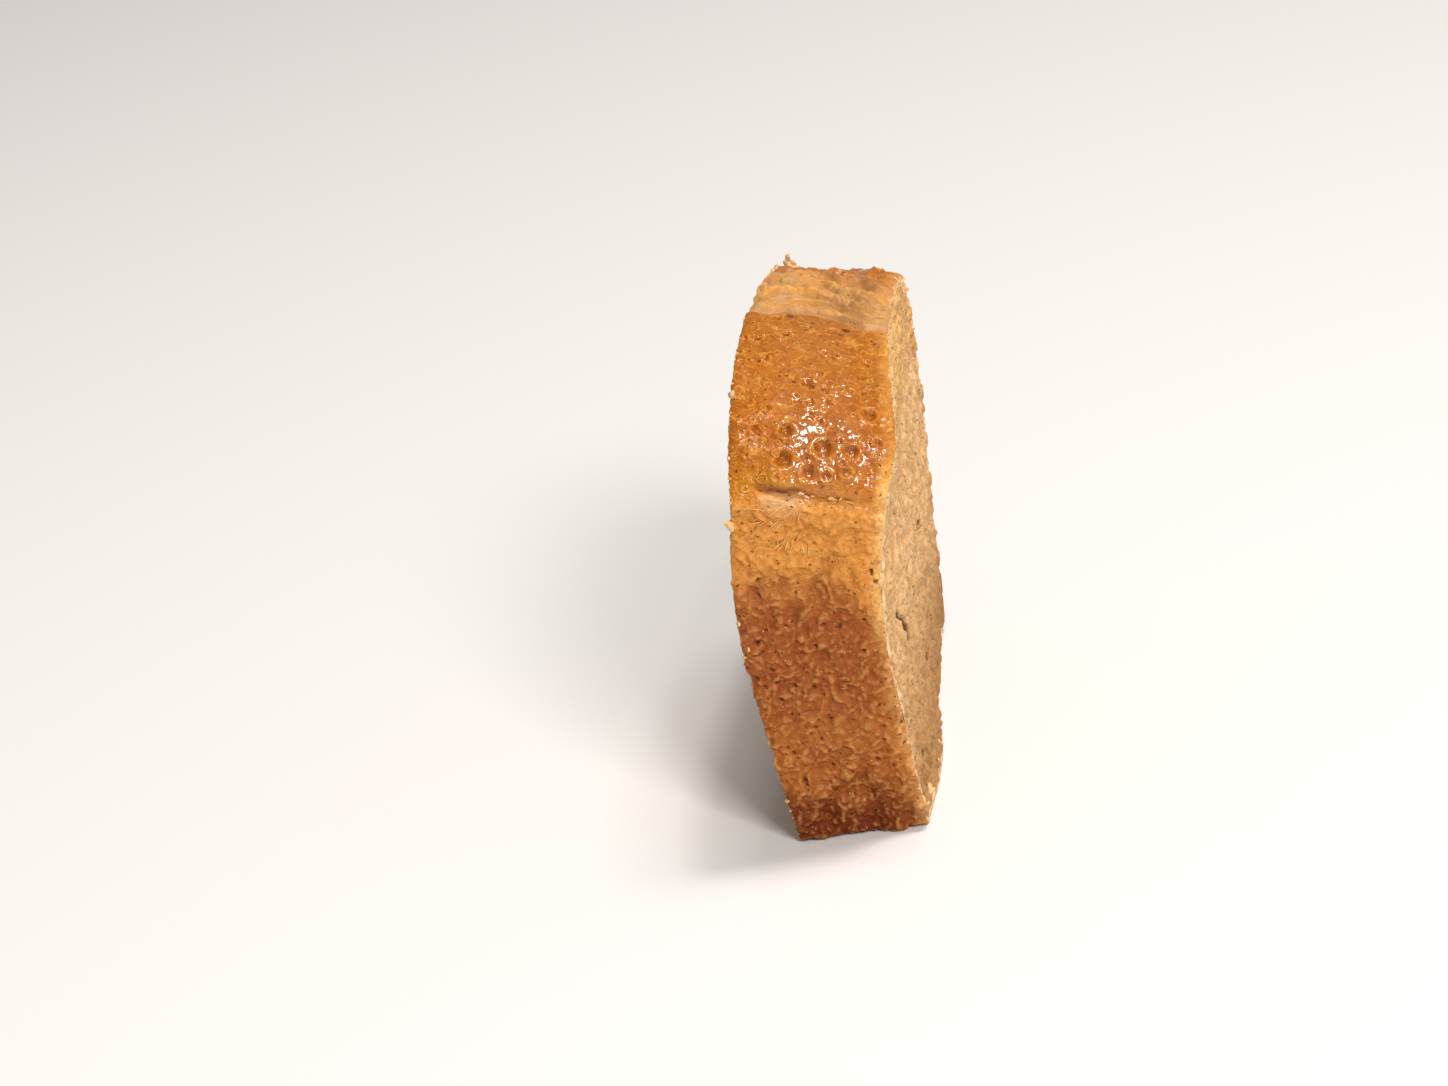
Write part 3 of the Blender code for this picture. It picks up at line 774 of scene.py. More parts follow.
def moved_by_relief(points, relief, inset, rows):
    """Moves the skin along its normals, and each turned rim as far as the skin's edge beside it."""
    turns = len(EDGE_TURN)
    grid = points.reshape(rows, -1, 3)
    skin = slice(turns, grid.shape[1] - 1 - turns)
    around = np.roll(grid, -1, axis=0) - np.roll(grid, 1, axis=0)
    around[0] = around[-1] = grid[1] - grid[-2]
    across = np.gradient(grid[:, skin], axis=1)
    normals = np.cross(around[:, skin], across)
    normals /= np.maximum(np.linalg.norm(normals, axis=2, keepdims=True), 1e-12)
    shift = normals * relief.reshape(rows, -1, 1)[:, skin]
    depth = inset.reshape(rows, -1, 1)
    grain = rim_grain(points, inset).reshape(rows, -1)
    moves = np.zeros_like(grid)
    moves[:, skin] = shift
    fade = 1 - ramp(depth, 2 * MM, 5 * MM)
    moves[:, :turns] = shift[:, :1] * fade[:, :turns]
    moves[:, -1 - turns:-1] = shift[:, -1:] * fade[:, -1 - turns:-1]
    moves[:, :turns, 0] -= grain[:, :turns]
    moves[:, -1 - turns:-1, 0] += grain[:, -1 - turns:-1]
    moves[:, -1] = moves[:, 0]
    return (grid + moves).reshape(-1, 3)


def bake_crust(shape):
    piece, flat, inset, rows = crust_grid(shape)
    mesh = piece.data
    points = np.column_stack((flat[:, 0], flat[:, 1], flat[:, 2] - sag_at(shape, flat[:, 0], flat[:, 2])))
    left, right = cut_places(shape, flat[:, 1], flat[:, 2])
    from_right = right - flat[:, 0]
    from_left = flat[:, 0] - left

    curls = swirled(points, 2.4 * MM, 31, 1.0 * MM)
    wander = 1.6 * MM * noise_at(points, 3.2 * MM, 35) + 1.2 * MM * noise_at(points, 8 * MM, 37)
    dome = ramp(flat[:, 2] + wander, shape.rim_height - 1.5 * MM, shape.rim_height + 3.5 * MM)
    split = split_share(shape, flat)
    wall = wall_relief(points, curls)
    top = dome_relief(points, curls)
    pits = shoulder_pits(shape, points)
    relief = 0.7 * MM * noise_at(points, 15 * MM, 17) + wall * (1 - dome) + top * dome
    relief += rim_relief(shape, flat) + far_lip_relief(shape, flat) + pits
    relief += blisters(shape, points) * dome
    pores = wall_pores(points) * (1 - dome)
    relief -= 0.6 * MM * pores
    relief = relief * (1 - split) + split_relief(flat) * split
    relief += knob_relief(shape, flat, from_right) * ramp(from_right, 12 * MM, 4 * MM)
    relief *= ramp(flat[:, 2], 0.05 * MM, 0.8 * MM)

    moved = moved_by_relief(points, relief, inset, rows) - OFF_CENTRE
    moved[:, 2] = np.maximum(moved[:, 2], 0.0)
    set_points(mesh, moved)
    store(mesh, "tin_height", flat[:, 2] / shape.rim_height)
    store(mesh, "split", split)
    store(mesh, "dome", dome)
    store(mesh, "inset", inset / MM)
    store(mesh, "from_right_cut", from_right / MM)
    store(mesh, "from_left_cut", from_left / MM)
    along = near_x(flat)
    above = flat[:, 2] - shape.rim_height
    store(mesh, "gilt", ramp(along, 3 * MM, -6 * MM) * ramp(above, 13 * MM, 4 * MM) * dome)
    by_ledge = ramp(along, 0.5 * MM, -3 * MM) * bump(above + 0.3 * MM, 2.2 * MM)
    store(mesh, "ledge", by_ledge * ramp(along, -9 * MM, -6 * MM))
    store(mesh, "glazed", dome * (1 - split) * ramp(along, -5 * MM, 0) * ramp(along, 13 * MM, 8 * MM))
    store(mesh, "lip", lip_share(shape, flat))
    near_lip, far_lip = split_lips(flat[:, 0])
    store(mesh, "strand", (flat[:, 1] - near_lip) / (far_lip - near_lip) * SPLIT_WIDTH / MM)
    store(mesh, "along", flat[:, 0] / MM)
    # Real scorched spots, with painted shade in the wall's broken bubbles and painted shadow in the crack
    # under the overhang
    store(mesh, "scorch_and_shade", np.maximum.reduce((pores, scorched_share(flat), crack_shadow_share(shape, flat))))
    store(mesh, "relief", relief / MM)
    store(mesh, "pit", np.clip(-pits / MM, 0, 1))
    close_crust(piece)
    relief = kept_values(mesh, "relief")
    level = smoothed(mesh, relief.astype(float), CRUST_SMOOTHINGS)
    store(mesh, "hollow", level - relief)
    return piece


# Crumb


def crumb_slab(shape):
    """The crumb between the two cuts as a flat slab, just inside the crust."""
    inner = drawn_in(outline_steps(shape, CRUMB_SIDE_STEP, CRUMB_BASE_STEP), CRUMB_INSET)[:-1]
    bpy.ops.mesh.primitive_circle_add(vertices=len(inner), radius=SECTION_REACH, fill_type="NGON")
    piece = bpy.context.object
    piece.name = piece.data.name = "open_crumb"
    start = np.column_stack((np.full(len(inner), -SLAB_HALF), inner))
    set_points(piece.data, start)
    bpy.ops.object.mode_set(mode="EDIT")
    bpy.ops.mesh.select_all(action="SELECT")
    bpy.ops.mesh.extrude_region_move(TRANSFORM_OT_translate={"value": (2 * SLAB_HALF, 0, 0)})
    bpy.ops.mesh.select_all(action="SELECT")
    bpy.ops.mesh.normals_make_consistent(inside=False)
    bpy.ops.object.mode_set(mode="OBJECT")
    remesh = piece.modifiers.new("even_faces", "REMESH")
    remesh.mode = "VOXEL"
    remesh.voxel_size = shape.crumb_step
    apply_all(piece)
    return piece


def depth_inside(shape, flat):
    """How far each point lies inside the loaf's outline, roughly."""
    across = np.abs(flat[:, 1])
    height = flat[:, 2]
    flare = (shape.rim_half_width - shape.base_half_width) / shape.rim_height
    from_wall = shape.base_half_width + flare * np.minimum(height, shape.rim_height) - across
    rise = shape.crown_height - shape.rim_height
    power = shape.dome_squareness
    u = across / shape.rim_half_width
    v = np.maximum(height - shape.rim_height, 0.0) / rise
    lean_u = power * u ** (power - 1) / shape.rim_half_width
    lean_v = power * v ** (power - 1) / rise
    from_dome = (1.0 - u**power - v**power) / np.maximum(np.hypot(lean_u, lean_v), 1e-6)
    return np.minimum(np.where(height > shape.rim_height, from_dome, from_wall), height)


def crumb_holes(points, flat, depth, count):
    """Open bubbles: many small and a few large, most of them drawn out upwards."""
    rng = random.Random(SEED)
    relief = np.zeros(len(points))
    for side in (-1, 1):
        on_cut = np.flatnonzero(side * flat[:, 0] > ON_CUT)
        local = points[on_cut]
        inside = np.flatnonzero(depth[on_cut] > CRUMB_INSET + 1 * MM)
        change = np.zeros(len(on_cut))
        for _ in range(count):
            centre = local[inside[rng.randrange(len(inside))]]
            radius = (0.55 + 1.7 * rng.random() ** 4) * MM
            stretch = rng.uniform(1.0, 1.9)
            lean = rng.gauss(0, 0.6)
            y = local[:, 1] - centre[1]
            z = local[:, 2] - centre[2]
            along = z * math.cos(lean) + y * math.sin(lean)
            aside = y * math.cos(lean) - z * math.sin(lean)
            reach = np.hypot(along / (radius * stretch), aside / radius)
            change -= radius * 0.85 * np.exp(-(reach**3))
        relief[on_cut] += np.maximum(change, -2.6 * MM)
    return relief


def crumb_openings(points, flat):
    """The deep openings of the right cut, which the material paints dark as painted shade."""
    share = np.zeros(len(points))
    for y, z, half_y, half_z in RIGHT_OPENINGS:
        reach = np.hypot((flat[:, 1] / MM - y) / half_y, (flat[:, 2] / MM - z) / half_z)
        reach += 0.6 * noise_at(points, 1.3 * MM, 93)
        share = np.maximum(share, np.exp(-(np.maximum(reach, 0) ** 4)))
    from_foot = flat[:, 1:] / MM - SLIT_FOOT
    length = SLIT_TOP - SLIT_FOOT
    part = np.clip(from_foot @ length / (length @ length), 0, 1)
    reach = np.linalg.norm(from_foot - part[:, None] * length, axis=1) / SLIT_HALF_WIDTH
    reach += 0.5 * noise_at(points, 1.6 * MM, 95)
    share = np.maximum(share, np.exp(-(np.maximum(reach, 0) ** 4)))
    return share * (flat[:, 0] > ON_CUT)


def cut_crumb(shape, look):
    piece = crumb_slab(shape)
    mesh = piece.data
    flat = points_of(mesh)
    left, right = cut_places(shape, flat[:, 1], flat[:, 2])
    share = (flat[:, 0] / SLAB_HALF + 1) / 2
    x = left + (right - left) * share
    waist = CRUMB_WAIST * (1 - ramp(np.abs(flat[:, 0]), 10.6 * MM, 11.8 * MM))
    waist -= 0.5 * MM * noise_at(flat, 2.2 * MM, 91)
    from_middle = flat[:, 1:] - SECTION_MIDDLE
    edge = ramp(depth_inside(shape, flat), CRUMB_INSET + 3 * MM, CRUMB_INSET)
    pull = edge_pull(shape, flat, np.sign(flat[:, 0]))
    drawn = SECTION_MIDDLE + from_middle * (1 - edge * (waist + pull) / SECTION_REACH)[:, None]
    points = np.column_stack((x, drawn[:, 0], drawn[:, 1] - sag_at(shape, x, drawn[:, 1])))
    depth = depth_inside(shape, flat)
    set_points(mesh, points)
    normals = normals_of(mesh)
    curls = swirled(points, 2.2 * MM, 81, 0.9 * MM)
    relief = 0.5 * MM * noise_at(points, 11 * MM, 23)
    relief += 0.6 * MM * (0.15 - np.abs(noise_at(points, 3.6 * MM, 29)))
    relief += 0.65 * MM * noise_at(curls, 1.9 * MM, 83) + 0.7 * MM * noise_at(points, 1.1 * MM, 85)
    relief += crumb_holes(points, flat, depth, look.holes_a_cut)
    reach = 6 * MM + 6 * MM * ramp(flat[:, 2], 45 * MM, 65 * MM)
    by_far_crust = (1 - ramp(depth, 0.3 * reach, reach)) * ramp(flat[:, 1], 0, 20 * MM)
    relief += 2.0 * MM * by_far_crust * noise_at(points, 3.4 * MM, 87)
    openings = crumb_openings(points, flat)
    relief -= 2.8 * MM * openings
    relief = np.minimum(relief, CRUMB_PROUD)
    on_cut = ramp(np.abs(flat[:, 0]), 11.0 * MM, 11.7 * MM)
    relief *= on_cut * ramp(depth, CRUMB_INSET - 0.8 * MM, CRUMB_INSET + 1.0 * MM)
    level = smoothed(mesh, relief, CRUMB_SMOOTHINGS)
    store(mesh, "hollow", (level - relief) / MM)
    store(mesh, "opening", openings)
    store(mesh, "by_far_crust", by_far_crust)
    store(mesh, "by_near_crust", ramp(depth, 3.2 * MM, 1.6 * MM) * ramp(flat[:, 1], -20 * MM, -36 * MM))
    store(mesh, "tin_height", flat[:, 2] / shape.rim_height)
    moved = points + normals * relief[:, None]
    moved -= OFF_CENTRE
    moved[:, 2] = np.maximum(moved[:, 2], 0.3 * MM)
    set_points(mesh, moved)
    return piece


# Crumbs and flakes


def rough_lump(subdivisions):
    """One lump of crumb to copy: a ball with unit radius."""
    bpy.ops.mesh.primitive_ico_sphere_add(subdivisions=subdivisions, radius=1)
    lump = bpy.context.object
    bpy.ops.object.shade_smooth()
    return lump


def turned_to(normal, rng):
    """A turn that lays a lump's flat side on a surface with this normal."""
    spin = Matrix.Rotation(rng.uniform(0, math.tau), 3, "Z")
    return Vector(normal).to_track_quat("Z", "Y").to_matrix() @ spin


def laid_along(direction, normal):
    """A turn that lays a lump's length along this direction, flat on a surface with this normal."""
    up = normal.normalized()
    ahead = (direction - up * direction.dot(up)).normalized()
    return Matrix((ahead, up.cross(ahead), up)).transposed()


def copied_lump(lump, place, turn, sizes, rng, roughness=0.55):
    """A copy with a mesh of its own, lumpier and stretched, turned and put in its place."""
    copy = lump.copy()
    copy.data = lump.data.copy()
    bpy.context.scene.collection.objects.link(copy)
    ball = points_of(copy.data)
    ball *= 1 + roughness * noise_at(ball, 0.8, rng.uniform(0, 99))[:, None]
    set_points(copy.data, (ball * sizes) @ np.array(turn).T + place)
    return copy


def joined(copies, name):
    bpy.ops.object.select_all(action="DESELECT")
    for copy in copies:
        copy.select_set(True)
    bpy.context.view_layer.objects.active = copies[0]
    bpy.ops.object.join()
    piece = bpy.context.object
    piece.name = piece.data.name = name
    return piece


def crust_places(low_inset, high_inset, low_height, high_height, from_cuts=0.0):
    """Points and normals of the crust between these insets, in mm, and heights, as shares of the rim's."""
    mesh = bpy.data.objects["browned_crust"].data
    inset, height = kept_values(mesh, "inset"), kept_values(mesh, "tin_height")
    away = np.minimum(kept_values(mesh, "from_right_cut"), kept_values(mesh, "from_left_cut"))
    chosen = (inset >= low_inset) & (inset <= high_inset) & (height >= low_height) & (height <= high_height)
    chosen &= away >= from_cuts
    return points_of(mesh)[chosen], normals_of(mesh)[chosen], height[chosen]


def cling_crumbs(settings):
    """Crumbs that cling along the cut edges, with a few larger ones in set places.

    Each larger crumb rests on the crust or on one of the larger crumbs before it.
    """
    rng = random.Random(SEED + 11)
    small = rough_lump(2)
    points, normals, heights = crust_places(0.1, 1.2, 0.03, 9)
    crumbs = []
    for _ in range(settings.along_edges):
        index = rng.randrange(len(points))
        radius = settings.largest * (0.25 + 0.6 * rng.random() ** 3)
        crumbs.append((points[index] - CRUMB_SUNK * radius * normals[index], radius, index))
    held = crust_places(0.0, 1.2, 0.03, 9)[0]
    reaches = np.zeros(len(held))
    for x, y, z, radius in LARGE_CRUMBS:
        place = np.array((x, y, z)) * MM - OFF_CENTRE
        gaps = np.linalg.norm(held - place, axis=1)
        nearest = (gaps - reaches).argmin()
        furthest = reaches[nearest] + CRUMB_REST * radius * MM
        if gaps[nearest] > furthest:
            place = held[nearest] + (place - held[nearest]) * furthest / gaps[nearest]
        crumbs.append((place, radius * MM, int(np.linalg.norm(points - place, axis=1).argmin())))
        held = np.vstack((held, place))
        reaches = np.append(reaches, CRUMB_REST * radius * MM)
    copies = []
    for place, radius, index in crumbs:
        sizes = radius * np.array([rng.uniform(0.7, 1.4) for _ in range(3)])
        copy = copied_lump(small, place, turned_to(normals[index], rng), sizes, rng)
        store(copy.data, "tin_height", np.full(len(copy.data.vertices), heights[index]))
        copies.append(copy)
    bpy.data.objects.remove(small)
    return joined(copies, "edge_crumbs")


def lift_flakes(settings):
    """Thin chips of torn crust along the ledge."""
    rng = random.Random(SEED + 12)
    chip = rough_lump(2)
    points, normals, heights = crust_places(0.0, 0.1, 0.96, 1.04, 1.5)
    along = near_x(points)
    line = 1.008 - LEDGE_FALL * (along + 3 * MM) / (RIM_HEIGHT * MM)
    torn = np.flatnonzero((along > -5 * MM) & (along < 8 * MM) & (np.abs(heights - line) < 0.012))
    copies = []
    for _ in range(settings.flakes):
        index = torn[rng.randrange(len(torn))]
        length = rng.uniform(0.3, 1.0) * MM
        sizes = np.array((length, rng.uniform(0.15, 0.4) * MM, rng.uniform(0.08, 0.16) * MM))
        out = Vector(normals[index]) + Vector([rng.gauss(0, 0.4) for _ in range(3)])
        turn = laid_along(Vector((1, rng.gauss(0, 0.3), rng.gauss(-0.2, 0.4))), out)
        copies.append(copied_lump(chip, points[index] + 0.1 * MM * normals[index], turn, sizes, rng))
    bpy.data.objects.remove(chip)
    return joined(copies, "ledge_flakes")


def draw_threads(settings):
    """Fine pale threads of crust, drawn out over the top left of the wall."""
    rng = random.Random(SEED + 13)
    thread = rough_lump(3)
    points, normals, _ = crust_places(0.0, 0.1, 0.85, 0.985, 2.2)
    points = points + OFF_CENTRE
    along = near_x(points)
    pale = np.flatnonzero((along > -15 * MM) & (along < -1 * MM))
    copies = []
    for _ in range(settings.threads):
        index = pale[rng.randrange(len(pale))]
        sizes = np.array((rng.uniform(0.8, 2.4), rng.uniform(0.10, 0.15), rng.uniform(0.09, 0.13))) * MM
        fan = math.atan2(points[index, 2] - 73 * MM, along[index] - 2 * MM) + rng.gauss(0, 0.25)
        ahead = Vector((-np.sign(points[index, 1]) * math.cos(fan), 0, math.sin(fan)))
        turn = laid_along(ahead, Vector(normals[index]))
        place = points[index] - OFF_CENTRE + 0.1 * MM * normals[index]
        copies.append(copied_lump(thread, place, turn, sizes, rng, 0.15))
    bpy.data.objects.remove(thread)
    return joined(copies, "wall_threads")


# Materials


# Tints laid over the main colours of the crust
# Painted light: a golden strip along the right margin of the wall
RIGHT_MARGIN_LIGHT = (0.66, 0.26, 0.048)
# Painted highlight on the crust's last millimetres before the right cut, on the wall and on the dome
WALL_EDGE_HIGHLIGHT = (0.84, 0.50, 0.17)
DOME_EDGE_HIGHLIGHT = (0.78, 0.42, 0.10)
WARM_GOLD = (0.62, 0.24, 0.035)
TAN = (0.39, 0.128, 0.012)
MOTTLE = (0.82, 0.70, 0.55)
# Painted shade in the crust's hollows
HOLLOW_SHADE = (0.68, 0.42, 0.25)
# Painted light on the crust's raised parts, on the wall and on the dome
PROUD_WALL_LIGHT = (0.90, 0.48, 0.14)
PROUD_DOME_LIGHT = (0.70, 0.28, 0.04)
LEDGE_CRUMB = (0.62, 0.36, 0.16)
# Painted shade deep in the shoulder pits
PIT_SHADE = (0.30, 0.085, 0.005)
# Painted shade on the floors inside the bubble rings
RING_FLOOR_SHADE = (0.35, 0.094, 0.005)
# Painted highlight along the rims of the bubbles
RING_HIGHLIGHT = (0.76, 0.36, 0.07)
# Painted glints on the small beads of crust
BEAD_GLINT = (0.86, 0.46, 0.11)
# Painted highlight in thin curling lines over the dome
SQUIGGLE_HIGHLIGHT = (0.72, 0.35, 0.055)
TORN_GOLD = (0.55, 0.25, 0.055)
TORN_BY_NEAR_LIP = (0.46, 0.24, 0.095)
TORN_BY_FAR_LIP = (0.42, 0.19, 0.065)
BETWEEN_THREADS = (0.40, 0.17, 0.055)
# Painted golden shade in the hollows of the split
TORN_HOLLOW_SHADE = (0.50, 0.23, 0.045)
LIP_SHADE = (0.40, 0.15, 0.045)
LIP_THREAD = (0.52, 0.23, 0.08)
# Painted shade in the small pores
PORE_SHADE = (0.16, 0.038, 0.008)
# Real scorched spots, with painted shade in the broken bubbles and painted shadow in the crack under the
# overhang
SCORCH_AND_HOLE_SHADE = (0.13, 0.032, 0.008)
WALL_THREAD = (0.74, 0.40, 0.14)

# Tints laid over the main colour of the crumb
CRUMB_TONE = (0.62, 0.33, 0.12)
CRUMB_STREAK = (0.88, 0.81, 0.70)
CRUMB_BY_FAR_CRUST = (0.52, 0.24, 0.07)
CRUMB_BY_NEAR_CRUST = (0.86, 0.62, 0.36)
HIGH_CRUMB = (0.64, 0.35, 0.115)
# Crumb darker towards the foot: partly browner crumb, partly painted shade
LOW_CRUMB_AND_SHADE = (0.37, 0.175, 0.055)


def add_node(tree, kind, **values):
    node = tree.nodes.new(kind)
    for name, value in values.items():
        setattr(node, name, value)
    return node


def connect(tree, source, node, name):
    """Links a socket, or sets the number or colour, on the named input."""
    socket = node.inputs[name]
    if isinstance(source, bpy.types.NodeSocket):
        tree.links.new(source, socket)
    else:
        socket.default_value = (*source, 1.0) if socket.type == "RGBA" else source


def attribute(tree, name):
    return add_node(tree, "ShaderNodeAttribute", attribute_name=name).outputs["Fac"]


def maths(tree, operation, first, second=0.0, third=0.0):
    node = add_node(tree, "ShaderNodeMath", operation=operation)
    for index, value in enumerate((first, second, third)):
        if index < len(node.inputs):
            connect(tree, value, node, index)
    return node.outputs[0]


def times(tree, first, second):
    return maths(tree, "MULTIPLY", first, second)


def one_less(tree, value):
    return maths(tree, "SUBTRACT", 1.0, value)


def between(tree, value, start, end, low=0.0, high=1.0):
    """A smooth step from low to high as value goes from start to end."""
    node = add_node(tree, "ShaderNodeMapRange", interpolation_type="SMOOTHSTEP")
    names = ("Value", "From Min", "From Max", "To Min", "To Max")
    for name, source in zip(names, (value, start, end, low, high)):
        connect(tree, source, node, name)
    return node.outputs[0]


def blend(tree, share, first, second, mode="MIX"):
    node = add_node(tree, "ShaderNodeMix", data_type="RGBA", blend_type=mode)
    connect(tree, share, node, 0)
    connect(tree, first, node, 6)
    connect(tree, second, node, 7)
    return node.outputs[2]


def layered(tree, shade, *layers):
    """The shade with tints laid over it in turn: each a share, how strong it gets, and the tint."""
    for share, most, laid in layers:
        shade = blend(tree, times(tree, share, most), shade, laid)
    return shade


def object_place(tree, stretch=(1, 1, 1)):
    """Places on the piece in millimetres, stretched along the axes."""
    coordinates = add_node(tree, "ShaderNodeTexCoord").outputs["Object"]
    mapping = add_node(tree, "ShaderNodeMapping")
    connect(tree, coordinates, mapping, "Vector")
    mapping.inputs["Scale"].default_value = [1000 / part for part in stretch]
    return mapping.outputs["Vector"]


def pattern(tree, place, size, detail=2.0, roughness=0.5, output="Fac"):
    """Noise from 0 to 1 with lumps of this size in millimetres."""
    node = add_node(tree, "ShaderNodeTexNoise")
    connect(tree, place, node, "Vector")
    node.inputs["Scale"].default_value = 1 / size
    node.inputs["Detail"].default_value = detail
    node.inputs["Roughness"].default_value = roughness
    return node.outputs[output]


def curled(tree, place, size, reach):
    """The place moved up to about reach millimetres by noise of this size."""
    swirl = add_node(tree, "ShaderNodeVectorMath", operation="MULTIPLY_ADD")
    centred = add_node(tree, "ShaderNodeVectorMath", operation="SUBTRACT")
    connect(tree, pattern(tree, place, size, 1.0, output="Color"), centred, 0)
    centred.inputs[1].default_value = (0.5, 0.5, 0.5)
    connect(tree, centred.outputs[0], swirl, 0)
    swirl.inputs[1].default_value = (reach * 2,) * 3
    connect(tree, place, swirl, 2)
    return swirl.outputs[0]


def creases(tree, place, size, width, detail=0.0):
    """0 along thin curling lines and 1 away from them."""
    away = maths(tree, "ABSOLUTE", maths(tree, "SUBTRACT", pattern(tree, place, size, detail), 0.5))
    return between(tree, away, 0.0, width)


def dots(tree, place, spacing, radius):
    """1 in round dots about this far apart, and 0 between them, sizes in millimetres."""
    node = add_node(tree, "ShaderNodeTexVoronoi", feature="F1")
    connect(tree, place, node, "Vector")
    node.inputs["Scale"].default_value = 1 / spacing
    return between(tree, node.outputs["Distance"], radius / spacing, 0.5 * radius / spacing)


def bubbles(tree, place, spacing, smallest, largest, line):
    """1 along thin rings round random spots, and how far inside each ring a place is; sizes in mm."""
    node = add_node(tree, "ShaderNodeTexVoronoi", feature="F1")
    connect(tree, place, node, "Vector")
    node.inputs["Scale"].default_value = 1 / spacing
    node.inputs["Randomness"].default_value = 0.65
    chance = add_node(tree, "ShaderNodeSeparateColor")
    connect(tree, node.outputs["Color"], chance, 0)
    radius = between(tree, chance.outputs[0], 0.2, 1.0, smallest / spacing, largest / spacing)
    outside = maths(tree, "SUBTRACT", node.outputs["Distance"], radius)
    ring = between(tree, maths(tree, "ABSOLUTE", outside), line / spacing, 0.0)
    blown = maths(tree, "GREATER_THAN", chance.outputs[1], 0.45)
    within = between(tree, outside, 0.0, -line / spacing)
    return times(tree, ring, blown), times(tree, within, blown)


def relief_of(tree, *layers):
    """Bumps laid on one another: each a height, and how far it stands out where that is 1, in mm."""
    normal = None
    for height, rise in layers:
        node = add_node(tree, "ShaderNodeBump")
        node.inputs["Strength"].default_value = 1.0
        node.inputs["Distance"].default_value = rise * MM
        connect(tree, height, node, "Height")
        if normal is not None:
            connect(tree, normal, node, "Normal")
        normal = node.outputs["Normal"]
    return normal


def new_material(name, roughness, specular):
    material = bpy.data.materials.new(name)
    material.use_nodes = True
    shader = material.node_tree.nodes["Principled BSDF"]
    shader.inputs["Roughness"].default_value = roughness
    shader.inputs["Specular IOR Level"].default_value = specular
    return material, material.node_tree, shader


def right_edge_highlight(tree):
    """Painted highlight: the crust is lightened over its last millimetres before the right cut, most of all
    below the ledge.
    """
    height = attribute(tree, "tin_height")
    below = between(tree, height, 0.52, 0.72, 0.3, 0.85)
    above = between(tree, height, 1.12, 1.04, 0.4, 1.0)
    near = between(tree, attribute(tree, "from_right_cut"), 3.2, 0.2)
    return times(tree, near, times(tree, below, above))


def wall_colour(tree, look, place):
    """Bands up the wall: dark foot, brown, browner, and pale gold under the ledge."""
    wander = maths(tree, "SUBTRACT", pattern(tree, place, 9.0, 3.0, 0.6), 0.5)
    height = maths(tree, "MULTIPLY_ADD", wander, 0.34, attribute(tree, "tin_height"))
    margin = maths(tree, "MULTIPLY_ADD", wander, 6.0, attribute(tree, "from_right_cut"))
    return layered(
        tree, look.foot,
        (between(tree, height, 0.04, 0.22), 1.0, look.low),
        (between(tree, height, 0.32, 0.48), 1.0, look.band),
        (between(tree, height, 0.66, 0.83), 1.0, look.high),
        # Painted light along the right margin
        (between(tree, margin, 6.5, 2.0), between(tree, height, 0.55, 0.78, 0.15, 0.85), RIGHT_MARGIN_LIGHT),
        # Painted highlight on the right cut edge
        (right_edge_highlight(tree), 1.0, WALL_EDGE_HIGHLIGHT),
    )


def shoulder_colour(tree, look, place):
    """Golden orange with amber patches, and olive gold low on one side."""
    height = attribute(tree, "tin_height")
    return layered(
        tree, look.shoulder,
        (between(tree, pattern(tree, place, 8.0, 3.0, 0.65), 0.42, 0.60), 0.85, look.amber),
        (between(tree, pattern(tree, place, 3.2, 2.0, 0.6), 0.56, 0.68), 0.5, WARM_GOLD),
        (attribute(tree, "gilt"), 0.8, look.gilt),
        (between(tree, height, 1.05, 1.09, 0.0, 0.6), between(tree, height, 1.19, 1.14), look.amber),
        (between(tree, height, 1.16, 1.24), 0.6, TAN),
        # Painted highlight on the right cut edge
        (right_edge_highlight(tree), 1.0, DOME_EDGE_HIGHLIGHT),
    )


def torn_colour(tree, look, strand, strands, threads, hollow):
    """Straw-coloured strands of the split, browner towards its lips and between threads, with painted golden
    shade in its hollows.
    """
    return layered(
        tree, look.torn,
        (between(tree, pattern(tree, strands, 3.0, 3.0), 0.42, 0.58), 1.0, TORN_GOLD),
        (between(tree, strand, 3.5, 0.5), 1.0, TORN_BY_NEAR_LIP),
        (between(tree, strand, 20.0, 25.0), 1.0, TORN_BY_FAR_LIP),
        (one_less(tree, threads), 0.55, BETWEEN_THREADS),
        # Painted golden shade in the split's hollows
        (between(tree, hollow, 0.15, 0.8), 0.65, TORN_HOLLOW_SHADE),
    )


